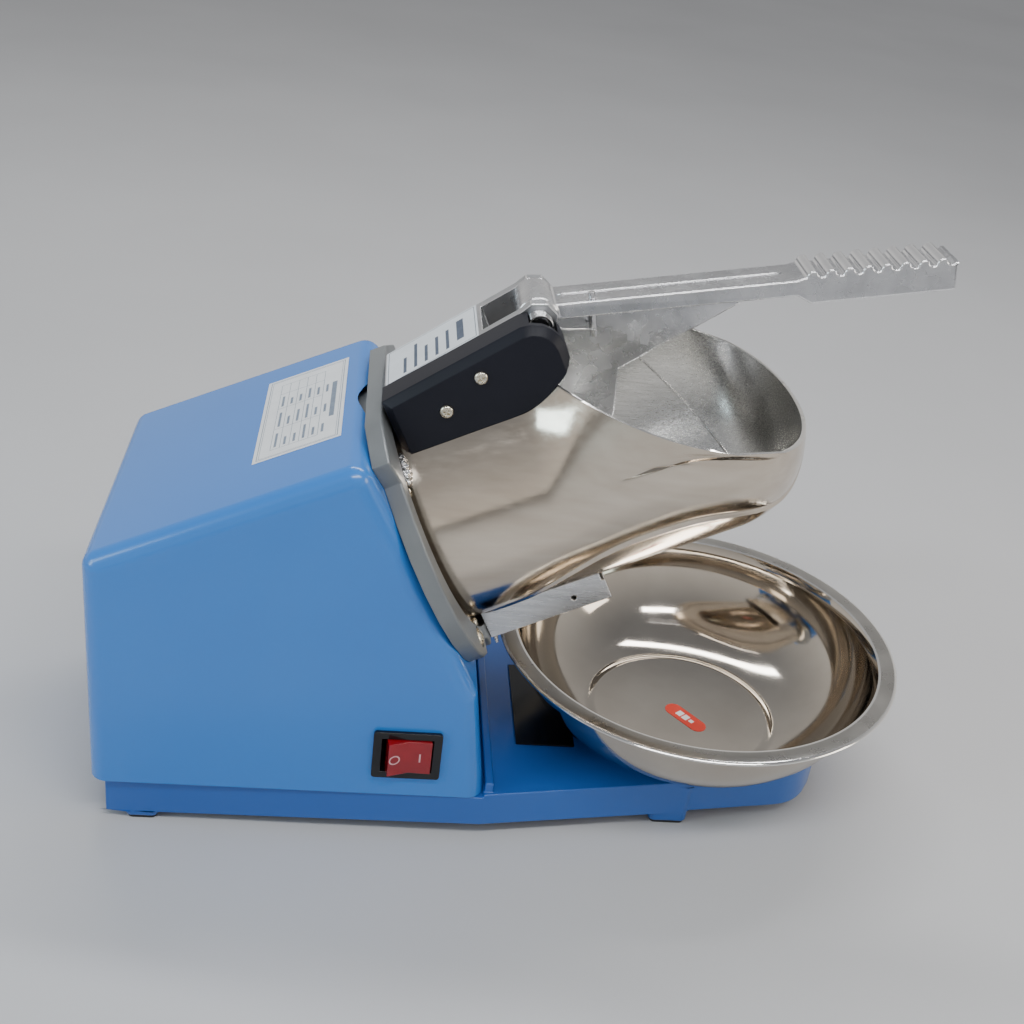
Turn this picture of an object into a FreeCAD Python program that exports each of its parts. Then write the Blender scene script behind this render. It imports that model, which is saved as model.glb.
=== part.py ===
import FreeCAD, Part
import math
import os

# Electric shaved ice machine with a press lever, an inclined steel hopper and a loose bowl.
# Frame: millimetres, +X forward towards the bowl, +Y to the far side, +Z up.
# The origin is on the table, in the middle of the whole machine with its bowl.

Vec = FreeCAD.Vector

# Driving dimensions of the body
front_x = -7.0            # lower front edge of the body cover
cover_length = 179.5
cover_half_width = 72.0
cover_bottom_z = 24.6
cover_rear_z = 140.6
cover_wall = 2.5
cover_edge_radius = 8.0
step_z = 80.7             # height where the upright front wall meets the incline
step_back = 7.9           # how far that edge leans back from the lower front edge
top_back = 65.2           # how far the top front edge lies behind the lower front edge
top_z = 194.1
tilt_deg = 26.8           # the hopper axis above the horizontal

# Base and tongue
deck_z = 26.2             # top of the tongue that the bowl stands on
base_bottom_z = 8.0
rear_skirt_z = 4.5        # lower edge of the base's skirt at the rear
base_wall = 4.0
foot_pad_height = 2.0
base_rear_x = front_x - 173.0
tongue_tip_x = front_x + 172.0

# Working parts on the incline (s along the hopper axis, v up the incline)
hopper_radius = 57.0
hopper_centre_v = 65.0
hopper_wall = 1.5
hopper_seat_s = 4.0
mouth_radius = 72.0
mouth_s = 131.6
mouth_v = 82.3
mouth_slope_deg = 33.8
dome_depth = 50.0
dome_fullness = 0.82      # 1 is an ellipse, less is squarer
plate_thickness = 8.0
plate_bore_radius = 52.0
disc_radius = 50.0
hinge_s = 82.5
hinge_v = 138.0
hinge_pin_radius = 4.0
running_gap = 0.05
shaft_radius = 6.0

# Lever
lever_rise_deg = 11.1     # slope of the lever arm at rest
lever_closed_deg = 18.7   # further travel down to the closed position

# Bowl
bowl_x = front_x + 105.4
bowl_radius = 100.0
bowl_height = 49.5
bowl_foot_radius = 49.0
bowl_wall = 0.8
body_gap = 0.3            # air between pieces on different bodies

step_x = front_x - step_back


# Placing and shaping helpers

def on_incline(shape):
    """Move a shape from incline coordinates (s, y, v) to the machine frame."""
    moved = shape.copy()
    turn = FreeCAD.Rotation(Vec(0, 1, 0), -tilt_deg)
    moved.Placement = FreeCAD.Placement(Vec(step_x, 0, step_z), turn).multiply(shape.Placement)
    return moved


def incline_point(s, y, v):
    tilt = math.radians(tilt_deg)
    x = step_x + s * math.cos(tilt) - v * math.sin(tilt)
    z = step_z + s * math.sin(tilt) + v * math.cos(tilt)
    return Vec(x, y, z)


def on_lever(shape):
    """Move a shape from lever coordinates (u along the arm, y, w up) to the machine frame."""
    moved = shape.copy()
    turn = FreeCAD.Rotation(Vec(0, 1, 0), -lever_rise_deg)
    moved.Placement = FreeCAD.Placement(incline_point(hinge_s, 0, hinge_v), turn).multiply(shape.Placement)
    return moved


def box(x0, x1, y0, y1, z0, z1):
    return Part.makeBox(x1 - x0, y1 - y0, z1 - z0, Vec(x0, y0, z0))


def rod_x(x0, x1, radius, y=0.0, z=0.0):
    return Part.makeCylinder(radius, x1 - x0, Vec(x0, y, z), Vec(1, 0, 0))


def rod_y(y0, y1, radius, x=0.0, z=0.0):
    return Part.makeCylinder(radius, y1 - y0, Vec(x, y0, z), Vec(0, 1, 0))


def rod_z(z0, z1, radius, x=0.0, y=0.0):
    return Part.makeCylinder(radius, z1 - z0, Vec(x, y, z0), Vec(0, 0, 1))


def tube_x(x0, x1, outer, inner, y=0.0, z=0.0):
    return rod_x(x0, x1, outer, y, z).cut(rod_x(x0 - 1, x1 + 1, inner, y, z))


def slab_y(points, y0, y1):
    """Extrude an outline of (x, z) points from y0 to y1."""
    wire = Part.makePolygon([Vec(x, y0, z) for x, z in points + points[:1]])
    return Part.Face(wire).extrude(Vec(0, y1 - y0, 0))


def slab_z(points, z0, z1):
    """Extrude an outline of (x, y) points from z0 to z1."""
    wire = Part.makePolygon([Vec(x, y, z0) for x, y in points + points[:1]])
    return Part.Face(wire).extrude(Vec(0, 0, z1 - z0))


def round_edges(shape, radius, wanted):
    edges = [edge for edge in shape.Edges if wanted(edge)]
    return shape.makeFillet(radius, edges)


def runs_along(edge, axis, tolerance=0.01):
    if not isinstance(edge.Curve, Part.Line):
        return False
    direction = edge.tangentAt(edge.FirstParameter)
    return abs(abs(direction.dot(axis)) - 1) < tolerance


def pan_screw_x(x, y, z, head_radius, shank_radius, length):
    """Pan head screw along X with its head's seat at x and its head facing +X."""
    head_height = head_radius * 0.7
    head = rod_x(x, x + head_height, head_radius, y, z)
    shank = rod_x(x - length, x, shank_radius, y, z)
    slot = box(x + head_height * 0.5, x + head_height + 1, y - head_radius * 0.7, y + head_radius * 0.7,
               z - 0.4, z + 0.4)
    cross = box(x + head_height * 0.5, x + head_height + 1, y - 0.4, y + 0.4,
                z - head_radius * 0.7, z + head_radius * 0.7)
    return head.fuse(shank).cut(slot).cut(cross)


def pan_screw(base_point, direction, head_radius, shank_radius, length):
    """Pan head screw whose head's seat is at base_point and whose head faces direction."""
    screw = pan_screw_x(0, 0, 0, head_radius, shank_radius, length)
    turn = FreeCAD.Rotation(Vec(1, 0, 0), direction)
    screw.Placement = FreeCAD.Placement(base_point, turn)
    return screw


# Body cover and base

def inset_outline(points, distance):
    """Move every side of a convex outline inward by distance."""
    count = len(points)
    centre_x = sum(x for x, z in points) / count
    centre_z = sum(z for x, z in points) / count
    sides = []
    for index in range(count):
        x0, z0 = points[index]
        x1, z1 = points[(index + 1) % count]
        length = math.hypot(x1 - x0, z1 - z0)
        normal_x = (z0 - z1) / length
        normal_z = (x1 - x0) / length
        if normal_x * (centre_x - x0) + normal_z * (centre_z - z0) < 0:
            normal_x = -normal_x
            normal_z = -normal_z
        sides.append((normal_x, normal_z, normal_x * x0 + normal_z * z0 + distance))
    corners = []
    for index in range(count):
        a0, b0, c0 = sides[index - 1]
        a1, b1, c1 = sides[index]
        scale = a0 * b1 - a1 * b0
        corners.append(((c0 * b1 - c1 * b0) / scale, (a0 * c1 - a1 * c0) / scale))
    return corners


def cover_block(inset, half_width):
    """The cover's side outline, drawn inward by inset and open at the bottom."""
    rear_x = front_x - cover_length
    outline = [(rear_x, cover_bottom_z), (front_x, cover_bottom_z), (step_x, step_z),
               (front_x - top_back, top_z), (rear_x, cover_rear_z)]
    block = slab_y(inset_outline(outline, inset), -half_width, half_width)
    if inset > 0:
        tail = slab_y([(rear_x + inset, cover_bottom_z - 2), (front_x - inset, cover_bottom_z - 2),
                       (front_x - inset * 1.35, cover_bottom_z + inset + 1),
                       (rear_x + inset, cover_bottom_z + inset + 1)], -half_width, half_width)
        block = block.fuse(tail).removeSplitter()
    return block


def make_body_cover():
    outer = cover_block(0.0, cover_half_width)

    def outside_edge(edge):
        middle = edge.valueAt((edge.FirstParameter + edge.LastParameter) / 2)
        return middle.z > cover_bottom_z + 1

    outer = round_edges(outer, cover_edge_radius, outside_edge)
    inner = cover_block(cover_wall, cover_half_width - cover_wall)

    def inside_edge(edge):
        middle = edge.valueAt((edge.FirstParameter + edge.LastParameter) / 2)
        return middle.z > cover_bottom_z + 6

    inner = round_edges(inner, cover_edge_radius - cover_wall, inside_edge)
    shell = outer.cut(inner)
    # window behind the face plate, and the mouth of the snow tunnel under it
    window = on_incline(rod_x(-20, 20, 62.0, 0, hopper_centre_v))
    tunnel = on_incline(box(-20, 20, -29, 29, -4.5, 30))
    shell = shell.cut(window).cut(tunnel)
    # rocker switch cut-out in the near side
    shell = shell.cut(box(switch_x - 14.2, switch_x + 14.2, -cover_half_width - 1,
                          -cover_half_width + 5, switch_z - 11.2, switch_z + 11.2))
    # cooling louvres and the cord gland's hole in the rear wall
    rear_x = front_x - cover_length
    for row in range(5):
        z = 92.0 + row * 8.0
        shell = shell.cut(box(rear_x - 1, rear_x + 4, -32, 32, z, z + 3.2))
    shell = shell.cut(rod_x(rear_x - 1, rear_x + 5, 7.05, gland_y, gland_z))
    # holes for the plate bolts
    for y, v in plate_bolt_places + upper_screw_places:
        shell = shell.cut(on_incline(rod_x(-20, 5, 2.6, y, v)))
    # inner lugs that the base screws reach
    for x, y in cover_lug_places:
        side = 1 if y > 0 else -1
        lug = box(x - 6, x + 6, min(y - 6 * side, side * (cover_half_width - 1)),
                  max(y - 6 * side, side * (cover_half_width - 1)), cover_bottom_z + 2.2, cover_bottom_z + 12)
        lug = lug.cut(rod_z(cover_bottom_z, cover_bottom_z + 14, 1.6, x, y))
        shell = shell.fuse(lug)
    return shell


switch_x = front_x - 37.4
switch_z = 49.2
gland_y = 40.0
gland_z = 45.0
plate_bolt_places = [(-46.0, 15.5), (46.0, 15.5)]
upper_screw_places = [(-43.0, 117.0), (43.0, 117.0)]
cover_lug_places = [(front_x - 136.0, -60.5), (front_x - 136.0, 60.5),
                    (front_x - 20.0, -61.0), (front_x - 20.0, 61.0)]
foot_places = [(front_x - 157.0, -61.5, 7.5), (front_x - 157.0, 61.5, 7.5),
               (front_x + 94.0, -49.0, 9.5), (front_x + 94.0, 49.0, 9.5)]
foot_half_width = 7.2


def base_outline(inset):
    """Plan outline of the base with its tapering tongue, drawn inward by inset."""
    rear = base_rear_x + inset
    tip = tongue_tip_x - inset
    front_half = 71.5 - inset
    half = [(rear, 68.5 - inset), (front_x, front_half), (front_x + 160.0 - inset * 0.5, 46.0 - inset),
            (tip, 27.0 - inset * 0.5)]
    return [(x, -y) for x, y in half] + [(x, y) for x, y in reversed(half)]


def base_block(inset, z0, z1):
    block = slab_z(base_outline(inset), z0, z1)
    corners = [(front_x + 160.0 - inset * 0.5, 26.0), (tongue_tip_x - inset, 14.0)]
    for place_x, radius in corners:

        def at_corner(edge):
            if not runs_along(edge, Vec(0, 0, 1)):
                return False
            return abs(edge.Vertexes[0].X - place_x) < 0.5

        block = round_edges(block, radius - inset, at_corner)
    return block


def make_base():
    outer = base_block(0.0, rear_skirt_z, deck_z)
    hollow = base_block(base_wall, rear_skirt_z - 1, deck_z - 3.5)
    # the skirt is deeper at the rear
    under_skirt = slab_y([(base_rear_x - 1, rear_skirt_z), (front_x, base_bottom_z),
                          (tongue_tip_x + 1, base_bottom_z), (tongue_tip_x + 1, 0),
                          (base_rear_x - 1, 0)], -80, 80)
    base = outer.cut(hollow).cut(under_skirt)
    # rear deck lies lower, inside the cover
    rear_step = box(base_rear_x - 1, front_x + 0.3, -80, 80, cover_bottom_z - 0.2, deck_z + 1)
    base = base.cut(rear_step)
    # curb that the cover's front wall stands behind
    curb = box(front_x + 0.6, front_x + 4.6, -69, 69, deck_z - 1, deck_z + 5.0)
    base = base.fuse(curb)
    # foot bosses with their screw holes
    for x, y, half_length in foot_places:
        boss = box(x - half_length, x + half_length, y - foot_half_width, y + foot_half_width,
                   foot_pad_height, deck_z - 3.0)
        boss = round_edges(boss, 3.0, lambda edge: runs_along(edge, Vec(0, 0, 1)))
        base = base.fuse(boss)
        base = base.cut(rod_z(foot_pad_height - 1, foot_pad_height + 9, 1.5, x, y))
    # shallow pocket for the drip pad
    base = base.cut(box(pad_x0, pad_x1, -pad_half_width, pad_half_width, deck_z - 1.0, deck_z + 1))
    # window in the rear deck for the wiring and the cooling air
    base = base.cut(box(front_x - 140, front_x - 40, -45, 45, base_bottom_z, deck_z + 1))
    for x, y in cover_lug_places:
        base = base.cut(rod_z(base_bottom_z, deck_z + 1, 1.7, x, y))
    # rim under the deck that carries the bottom plate
    rim = box(front_x - 146, front_x - 34, -51, 51, base_bottom_z + 2, deck_z - 3)
    rim = rim.cut(box(front_x - 140, front_x - 40, -45, 45, base_bottom_z, deck_z))
    base = base.fuse(rim)
    for x, y in bottom_screw_places:
        base = base.cut(rod_z(base_bottom_z, base_bottom_z + 10, 1.25, x, y))
    return base.removeSplitter()


pad_x0 = front_x + 17.6
pad_x1 = front_x + 47.0
pad_half_width = 32.8
bottom_screw_places = [(front_x - 143.0, -48.0), (front_x - 143.0, 48.0),
                       (front_x - 37.0, -48.0), (front_x - 37.0, 48.0)]


def make_drip_pad():
    half = pad_half_width - 0.2
    pad = box(pad_x0 + 0.2, pad_x1 - 0.2, -half, half, deck_z - 1.0, deck_z + 0.3)
    return round_edges(pad, 0.8, lambda edge: runs_along(edge, Vec(0, 0, 1)))


def make_foot_pads():
    pads = []
    for x, y, half_length in foot_places:
        pad = box(x - half_length + 1, x + half_length - 1, y - foot_half_width + 1,
                  y + foot_half_width - 1, 0, foot_pad_height)
        pad = round_edges(pad, 2.5, lambda edge: runs_along(edge, Vec(0, 0, 1)))
        pads.append(pad.cut(rod_z(-1, 1.2, 3.2, x, y)).cut(rod_z(-1, 5, 1.6, x, y)))
    return Part.makeCompound(pads)


def make_foot_screws():
    screws = []
    for x, y, half_length in foot_places:
        screws.append(rod_z(0.3, 1.2, 3.0, x, y).fuse(rod_z(1.2, 9, 1.5, x, y)))
    return Part.makeCompound(screws)


def make_bottom_plate():
    plate = box(front_x - 146, front_x - 34, -51, 51, base_bottom_z + 1.0, base_bottom_z + 2.0)
    for row in range(6):
        x = front_x - 110.0 + row * 8.0
        plate = plate.cut(box(x, x + 3.5, -25, 25, base_bottom_z, base_bottom_z + 3))
    for x, y in bottom_screw_places:
        plate = plate.cut(rod_z(base_bottom_z, base_bottom_z + 3, 1.6, x, y))
    return plate


def make_bottom_screws():
    screws = []
    for x, y in bottom_screw_places:
        screws.append(pan_screw(Vec(x, y, base_bottom_z + 1.0), Vec(0, 0, -1), 2.6, 1.25, 7.0))
    return Part.makeCompound(screws)


def make_cover_screws():
    screws = []
    for x, y in cover_lug_places:
        screws.append(pan_screw(Vec(x, y, deck_z - 3.5), Vec(0, 0, -1), 3.0, 1.6, 12.0))
    return Part.makeCompound(screws)


# Face plate with its ice chamber

def plate_outline():
    """Outline of the face plate as (y, v) points: flat top, sloping shoulders, two lower ears."""
    half = [(40.0, 130.5), (62.0, 121.0)]
    centre_v = 60.0
    radius = 75.0
    for step in range(7):
        angle = math.radians(40 - step * 12.5)
        half.append((radius * math.cos(angle), centre_v + radius * math.sin(angle)))
    half += [(54.5, 10.0), (47.0, 5.8), (39.0, 8.5), (33.0, 4.0), (30.0, -1.5)]
    return half + [(-y, v) for y, v in reversed(half)]


def make_face_plate():
    outline = [Vec(0, y, v) for y, v in plate_outline()]
    plate = Part.Face(Part.makePolygon(outline + outline[:1])).extrude(Vec(plate_thickness, 0, 0))

    def front_rim(edge):
        middle = edge.valueAt((edge.FirstParameter + edge.LastParameter) / 2)
        return middle.x > plate_thickness - 0.01

    plate = round_edges(plate, 1.2, front_rim)
    plate = plate.cut(rod_x(hopper_seat_s, plate_thickness + 1, 62.4, 0, hopper_centre_v))
    cup = rod_x(-24, 1, 59.0, 0, hopper_centre_v)
    tunnel_block = box(-24, 3, -28, 28, -4.0, 20)
    plate = plate.fuse(cup).fuse(tunnel_block)
    plate = plate.cut(rod_x(-19, plate_thickness + 1, plate_bore_radius, 0, hopper_centre_v))
    plate = plate.cut(box(-19, plate_thickness + 1, -23, 23, 1.5, 25))
    plate = plate.cut(rod_x(-30, 0, 15.05, 0, hopper_centre_v))
    for y, v in plate_bolt_places:
        plate = plate.cut(rod_x(-1, plate_thickness + 1, 2.6, y, v))
        plate = plate.cut(rod_x(plate_thickness - 2.0, plate_thickness + 1, 5.2, y, v))
    for y, v in upper_screw_places:
        plate = plate.cut(rod_x(-1, 6.2, 2.0, y, v))
    plate = plate.cut(rod_x(2, 20, 1.55, *foot_screw_place))
    for angle in motor_bolt_angles:
        y, v = motor_bolt_place(angle)
        plate = plate.cut(rod_x(-30, -15, 2.2, y, v))
    for angle in hopper_screw_angles:
        y, v = hopper_screw_place(angle)
        plate = plate.cut(rod_x(-3, 6, 1.25, y, v))
    return on_incline(plate.removeSplitter())


motor_bolt_angles = (45, 135, 225, 315)
hopper_screw_angles = (-55, 35, 145, 235)


def motor_bolt_place(angle):
    reach = 40.0
    return reach * math.cos(math.radians(angle)), hopper_centre_v + reach * math.sin(math.radians(angle))


def hopper_screw_place(angle):
    reach = 59.7
    return reach * math.cos(math.radians(angle)), hopper_centre_v + reach * math.sin(math.radians(angle))


def make_plate_bolts():
    bolts = []
    for y, v in plate_bolt_places:
        bolts.append(on_incline(pan_screw_x(plate_thickness - 2.0, y, v, 4.6, 2.5, 14.0)))
    return Part.makeCompound(bolts)


def make_upper_plate_screws():
    """Screws that hold the top of the plate from inside the cover."""
    screws = []
    for y, v in upper_screw_places:
        screws.append(on_incline(pan_screw(Vec(-cover_wall - 0.1, y, v), Vec(-1, 0, 0), 3.6, 2.0, 8.4)))
    return Part.makeCompound(screws)


def make_plate_nuts():
    nuts = []
    for y, v in plate_bolt_places:
        nut = Part.makePolygon([Vec(-6.9, y + 4.6 * math.cos(math.radians(60 * k)),
                                    v + 4.6 * math.sin(math.radians(60 * k))) for k in range(7)])
        nut = Part.Face(nut).extrude(Vec(3.6, 0, 0)).cut(rod_x(-8, 0, 2.52, y, v))
        nuts.append(on_incline(nut))
    return Part.makeCompound(nuts)


# Hopper barrel

def hopper_solid(skin, start_s):
    """Round tube that widens into a scoop and closes in a half dome; skin is taken off the outside."""
    flare_start = 62.0
    stations = []
    for index in range(6):
        stations.append((start_s + index * (flare_start - start_s) / 5, hopper_radius, hopper_centre_v))
    for index in range(1, 10):
        share = index / 9
        ease = 3 * share ** 2 - 2 * share ** 3
        stations.append((flare_start + share * (mouth_s - flare_start),
                         hopper_radius + ease * (mouth_radius - hopper_radius),
                         hopper_centre_v + ease * (mouth_v - hopper_centre_v)))
    for angle in (7, 14, 22, 31, 41, 51, 60, 67):
        radians = math.radians(angle)
        depth = (dome_depth - skin) * math.sin(radians) ** dome_fullness
        reach = (mouth_radius - skin) * math.cos(radians) ** dome_fullness
        stations.append((mouth_s + depth, reach + skin, mouth_v))
    wires = []
    for s, radius, v in stations:
        circle = Part.Circle(Vec(s, 0, v), Vec(1, 0, 0), radius - skin)
        wires.append(Part.Wire(circle.toShape()))
    return Part.makeLoft(wires, True, False)


def mouth_cutter():
    """Everything above the plane of the mouth."""
    block = box(-200, 200, -120, 120, 0, 200)
    block.rotate(Vec(0, 0, 0), Vec(0, 1, 0), mouth_slope_deg)
    block.translate(Vec(mouth_s, 0, mouth_v))
    return block


def make_hopper_barrel():
    outer = hopper_solid(0.0, hopper_seat_s)
    inner = hopper_solid(hopper_wall, hopper_seat_s - 1.0)
    shell = outer.cut(inner).cut(mouth_cutter())
    flange = tube_x(hopper_seat_s, hopper_seat_s + 1.5, 62.0, hopper_radius - hopper_wall, 0, hopper_centre_v)
    # the flange stops at both sides of the snow tunnel, so that the snow passes under the tube
    notch = box(0, 10, -24, 24, 0, 20).cut(rod_x(-1, 11, hopper_radius, 0, hopper_centre_v))
    shell = shell.fuse(flange.cut(notch))
    for angle in hopper_screw_angles:
        y, v = hopper_screw_place(angle)
        shell = shell.cut(rod_x(0, 10, 1.6, y, v))
    for along in bracket_screw_stations:
        for y in (-bracket_screw_y, bracket_screw_y):
            shell = shell.cut(rod_z(100, 140, 2.1, along, y))
    return on_incline(shell)


def make_hopper_screws():
    screws = []
    for angle in hopper_screw_angles:
        y, v = hopper_screw_place(angle)
        screws.append(on_incline(pan_screw_x(hopper_seat_s + 1.5, y, v, 2.4, 1.25, 6.0)))
    return Part.makeCompound(screws)


# Hinge bracket, safety switch and lever

bracket_half_width = 18.0
ear_thickness = 5.0
ear_radius = 9.0


def hopper_space():
    """The room that the hopper's tube takes, with a hair of air for pieces that sit on it."""
    return hopper_solid(-0.1, hopper_seat_s - 10.0)


def make_hinge_bracket():
    side = [(9.0, 106.0), (59.0, 106.0), (59.0, 124.8), (84.0, 124.8), (hinge_s + ear_radius, hinge_v),
            (hinge_s + 6.4, hinge_v + 6.4), (hinge_s, hinge_v + ear_radius), (hinge_s - 6.4, hinge_v + 7.0),
            (10.0, 134.0)]
    bracket = slab_y(side, -bracket_half_width, bracket_half_width)
    # open pocket between the two ears, and a lightening pocket below the top web
    pocket_half = bracket_half_width - ear_thickness
    bracket = bracket.cut(box(59, 110, -pocket_half, pocket_half, 90, 160))
    bracket = bracket.cut(box(14, 60, -pocket_half, pocket_half, 100, 127))
    bracket = bracket.cut(rod_x(0, 70, hopper_radius + 0.1, 0, hopper_centre_v))
    bracket = bracket.cut(rod_y(-60, 60, hinge_pin_radius, hinge_s, hinge_v))
    # foot on the far side, screwed to the face plate
    foot = box(plate_thickness, 12.0, bracket_half_width - 1, 30, 122.9, 129.5)
    foot = foot.fuse(box(plate_thickness, 9.5, -bracket_half_width, bracket_half_width, 127.6, 130.0))
    bracket = bracket.fuse(foot).cut(rod_x(0, 20, 1.6, *foot_screw_place))
    for along in bracket_screw_stations:
        for y in (-bracket_screw_y, bracket_screw_y):
            bracket = bracket.cut(rod_z(100, 128.2, 2.02, along, y))
    for s, v in switch_screw_places:
        bracket = bracket.cut(rod_y(-40, 0, 1.56, s, v))
    return on_incline(bracket.removeSplitter())


bracket_screw_stations = (22.0, 46.0)
bracket_screw_y = 15.5
foot_screw_place = (25.0, 126.2)


def make_bracket_screws():
    """Screws from inside the hopper up into the bracket, and one through its foot."""
    seat_v = hopper_centre_v + math.sqrt((hopper_radius - hopper_wall) ** 2 - (bracket_screw_y + 3.2) ** 2)
    screws = []
    for along in bracket_screw_stations:
        for y in (-bracket_screw_y, bracket_screw_y):
            screws.append(on_incline(pan_screw(Vec(along, y, seat_v), Vec(0, 0, -1), 3.2, 2.0, 10.0)))
    screws.append(on_incline(pan_screw_x(12.0, *foot_screw_place, 2.8, 1.55, 9.0)))
    return Part.makeCompound(screws)


def make_hinge_pin():
    pin = rod_y(-24.0, 20.5, hinge_pin_radius, hinge_s, hinge_v)
    pin = pin.cut(rod_y(19.0, 19.8, 5.0, hinge_s, hinge_v).cut(rod_y(19.0, 19.8, 3.2, hinge_s, hinge_v)))
    return on_incline(pin)


def make_pin_clip():
    clip = rod_y(19.05, 19.75, 6.2, hinge_s, hinge_v).cut(rod_y(18, 21, 3.2, hinge_s, hinge_v))
    clip = clip.cut(box(hinge_s, hinge_s + 10, 18, 21, hinge_v - 2.2, hinge_v + 2.2))
    return on_incline(clip)


switch_box_out = 36.5


def switch_box_outline(inset):
    """Side outline of the switch housing as (s, v), drawn inward by inset."""
    low_v = 108.5
    nose_s = 76.0
    nose_v = 130.5
    nose_radius = 14.5 - inset
    points = [(9.0 + inset, low_v + inset), (nose_s + nose_radius, low_v + inset)]
    for angle in (0, 18, 36, 54, 72, 92):
        radians = math.radians(angle)
        points.append((nose_s + nose_radius * math.cos(radians), nose_v + nose_radius * math.sin(radians)))
    points.append((9.5 + inset, 135.0 - inset))
    return points


def make_switch_housing():
    shell = slab_y(switch_box_outline(0.0), -switch_box_out, -bracket_half_width - 0.1)

    def outer_rim(edge):
        middle = edge.valueAt((edge.FirstParameter + edge.LastParameter) / 2)
        return abs(middle.y + switch_box_out) < 0.01 and middle.z > 112

    shell = shell.makeChamfer(3.5, [edge for edge in shell.Edges if outer_rim(edge)])
    cavity = slab_y(switch_box_outline(2.0), -switch_box_out + 2.0, 0)
    shell = shell.cut(cavity)
    shell = shell.cut(hopper_space())
    shell = shell.cut(rod_y(-30, 0, 7.0, hinge_s, hinge_v))
    for s, v in switch_screw_places:
        boss = rod_y(-switch_box_out + 1, -bracket_half_width - 0.1, 3.4, s, v)
        shell = shell.fuse(boss.cut(hopper_space())).cut(rod_y(-40, 0, 1.6, s, v))
    shell = shell.cut(rod_x(0, 20, 2.3, -27.0, 119.5))
    return on_incline(shell)


switch_screw_places = [(53.0, 131.5), (34.0, 122.4)]


def make_switch_screws():
    screws = []
    for s, v in switch_screw_places:
        screws.append(on_incline(pan_screw(Vec(s, -switch_box_out, v), Vec(0, -1, 0), 3.0, 1.55, 22.5)))
    return Part.makeCompound(screws)


def make_microswitch():
    case = box(57, 73, -31, -22, 121, 130).cut(hopper_space())
    # bore that the plunger slides in, with a wider mouth
    case = case.cut(box(72, 74, -28.2, -24.8, 124.0, 127.6))
    case = case.cut(box(64.8, 73, -27.9, -25.1, 124.3, 127.3))
    return on_incline(case)


def make_microswitch_plunger():
    stem = box(67.0, 75.0, -27.5, -25.5, 124.8, 126.8)
    return on_incline(stem)


def make_switch_lead():
    """Short earth lead from the switch housing back through the gap beside the hopper."""
    path = [Vec(20, -27, 119.5), Vec(9.2, -27, 119.5)]
    lead = Part.makeCylinder(1.9, (path[0] - path[1]).Length, path[1], path[0] - path[1])
    return on_incline(lead)


def make_press_lever():
    half_width = 11.0
    hub = rod_y(-12.6, 12.6, 9.0)
    flange_end = 181.0
    arm = slab_y([(0, 4.5), (0, -2.5), (112, -2.5), (118, -6.5), (flange_end, -6.5), (flange_end, 6.0),
                  (118, 6.0), (112, 4.5)], -half_width, half_width)
    # wavy thumb ridges on top of the grip
    ridge_pitch = 8.0
    for index in range(8):
        u = 119.0 + index * ridge_pitch
        arm = arm.fuse(rod_y(-half_width, half_width, 2.9, u, 5.2))
        arm = arm.cut(rod_y(-half_width - 1, half_width + 1, 2.3, u + ridge_pitch / 2, 7.4))
    web_outline = [(2.0, -8.0), (7.5, -19.0), (5.0, -25.0), (-27.5, -47.5), (11.5, -106.0), (22.0, -88.0),
                   (31.6, -52.0), (34.7, -31.0), (43.4, -27.0), (52.5, -22.2), (70.4, -14.5), (85.0, -7.5),
                   (97.0, -2.0), (60.0, 0.0), (6.0, 0.0)]
    web = slab_y(web_outline, -4.5, 4.5)
    lever = arm.fuse(hub).fuse(web)
    # pad on the web's end that the press plate is screwed to
    pad = on_press_frame(box(-52.4, -48.4, -14, 14, -88, -38))
    lever = lever.fuse(pad)
    lever = lever.cut(rod_y(-20, 20, hinge_pin_radius + running_gap))
    for y, v in press_screw_places:
        lever = lever.cut(on_press_frame(rod_x(-60, -44, 1.6, y, v)))
    lever = lever.cut(rod_z(-30, 8, 1.52, 24.0, -7.4))
    return on_lever(lever.removeSplitter())


press_screw_places = [(-9.5, -50.0), (9.5, -50.0), (-9.5, -76.0), (9.5, -76.0)]


def on_press_frame(shape):
    """Lever coordinates of a shape given square to the hopper axis with the lever fully closed."""
    turned = shape.copy()
    turned.rotate(Vec(0, 0, 0), Vec(0, 1, 0), lever_rise_deg - tilt_deg - lever_closed_deg)
    return turned


def make_press_plate():
    plate = rod_x(-56.4, -52.4, 40.0, 0, -63.0)
    plate = plate.cut(box(-60, -40, -50, 50, -140, -100.0))
    for row in range(5):
        v = -85.0 + row * 11.0
        plate = plate.fuse(box(-58.0, -56.0, -26, 26, v - 1.0, v + 1.0))
    for y, v in press_screw_places:
        plate = plate.cut(rod_x(-60, -44, 1.6, y, v))
    return on_lever(on_press_frame(plate.removeSplitter()))


def make_press_screws():
    screws = []
    for y, v in press_screw_places:
        screws.append(on_lever(on_press_frame(pan_screw_x(-48.4, y, v, 2.8, 1.55, 8.0))))
    return Part.makeCompound(screws)


def make_spring_peg():
    peg = rod_z(-13.0, 7.5, 1.5, 24.0, -7.4)
    return on_lever(peg)


def make_return_spring():
    """Torsion spring coiled on the pin's near end, one leg on the peg, one in the bracket."""
    coil_radius = 5.4
    wire_radius = 0.6
    turns = []
    for index in range(4):
        y = -18.9 - index * 1.3
        turns.append(Part.makeTorus(coil_radius, wire_radius, Vec(hinge_s, y, hinge_v), Vec(0, 1, 0)))
    return on_incline(Part.makeCompound(turns))


# Snow chute

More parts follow.
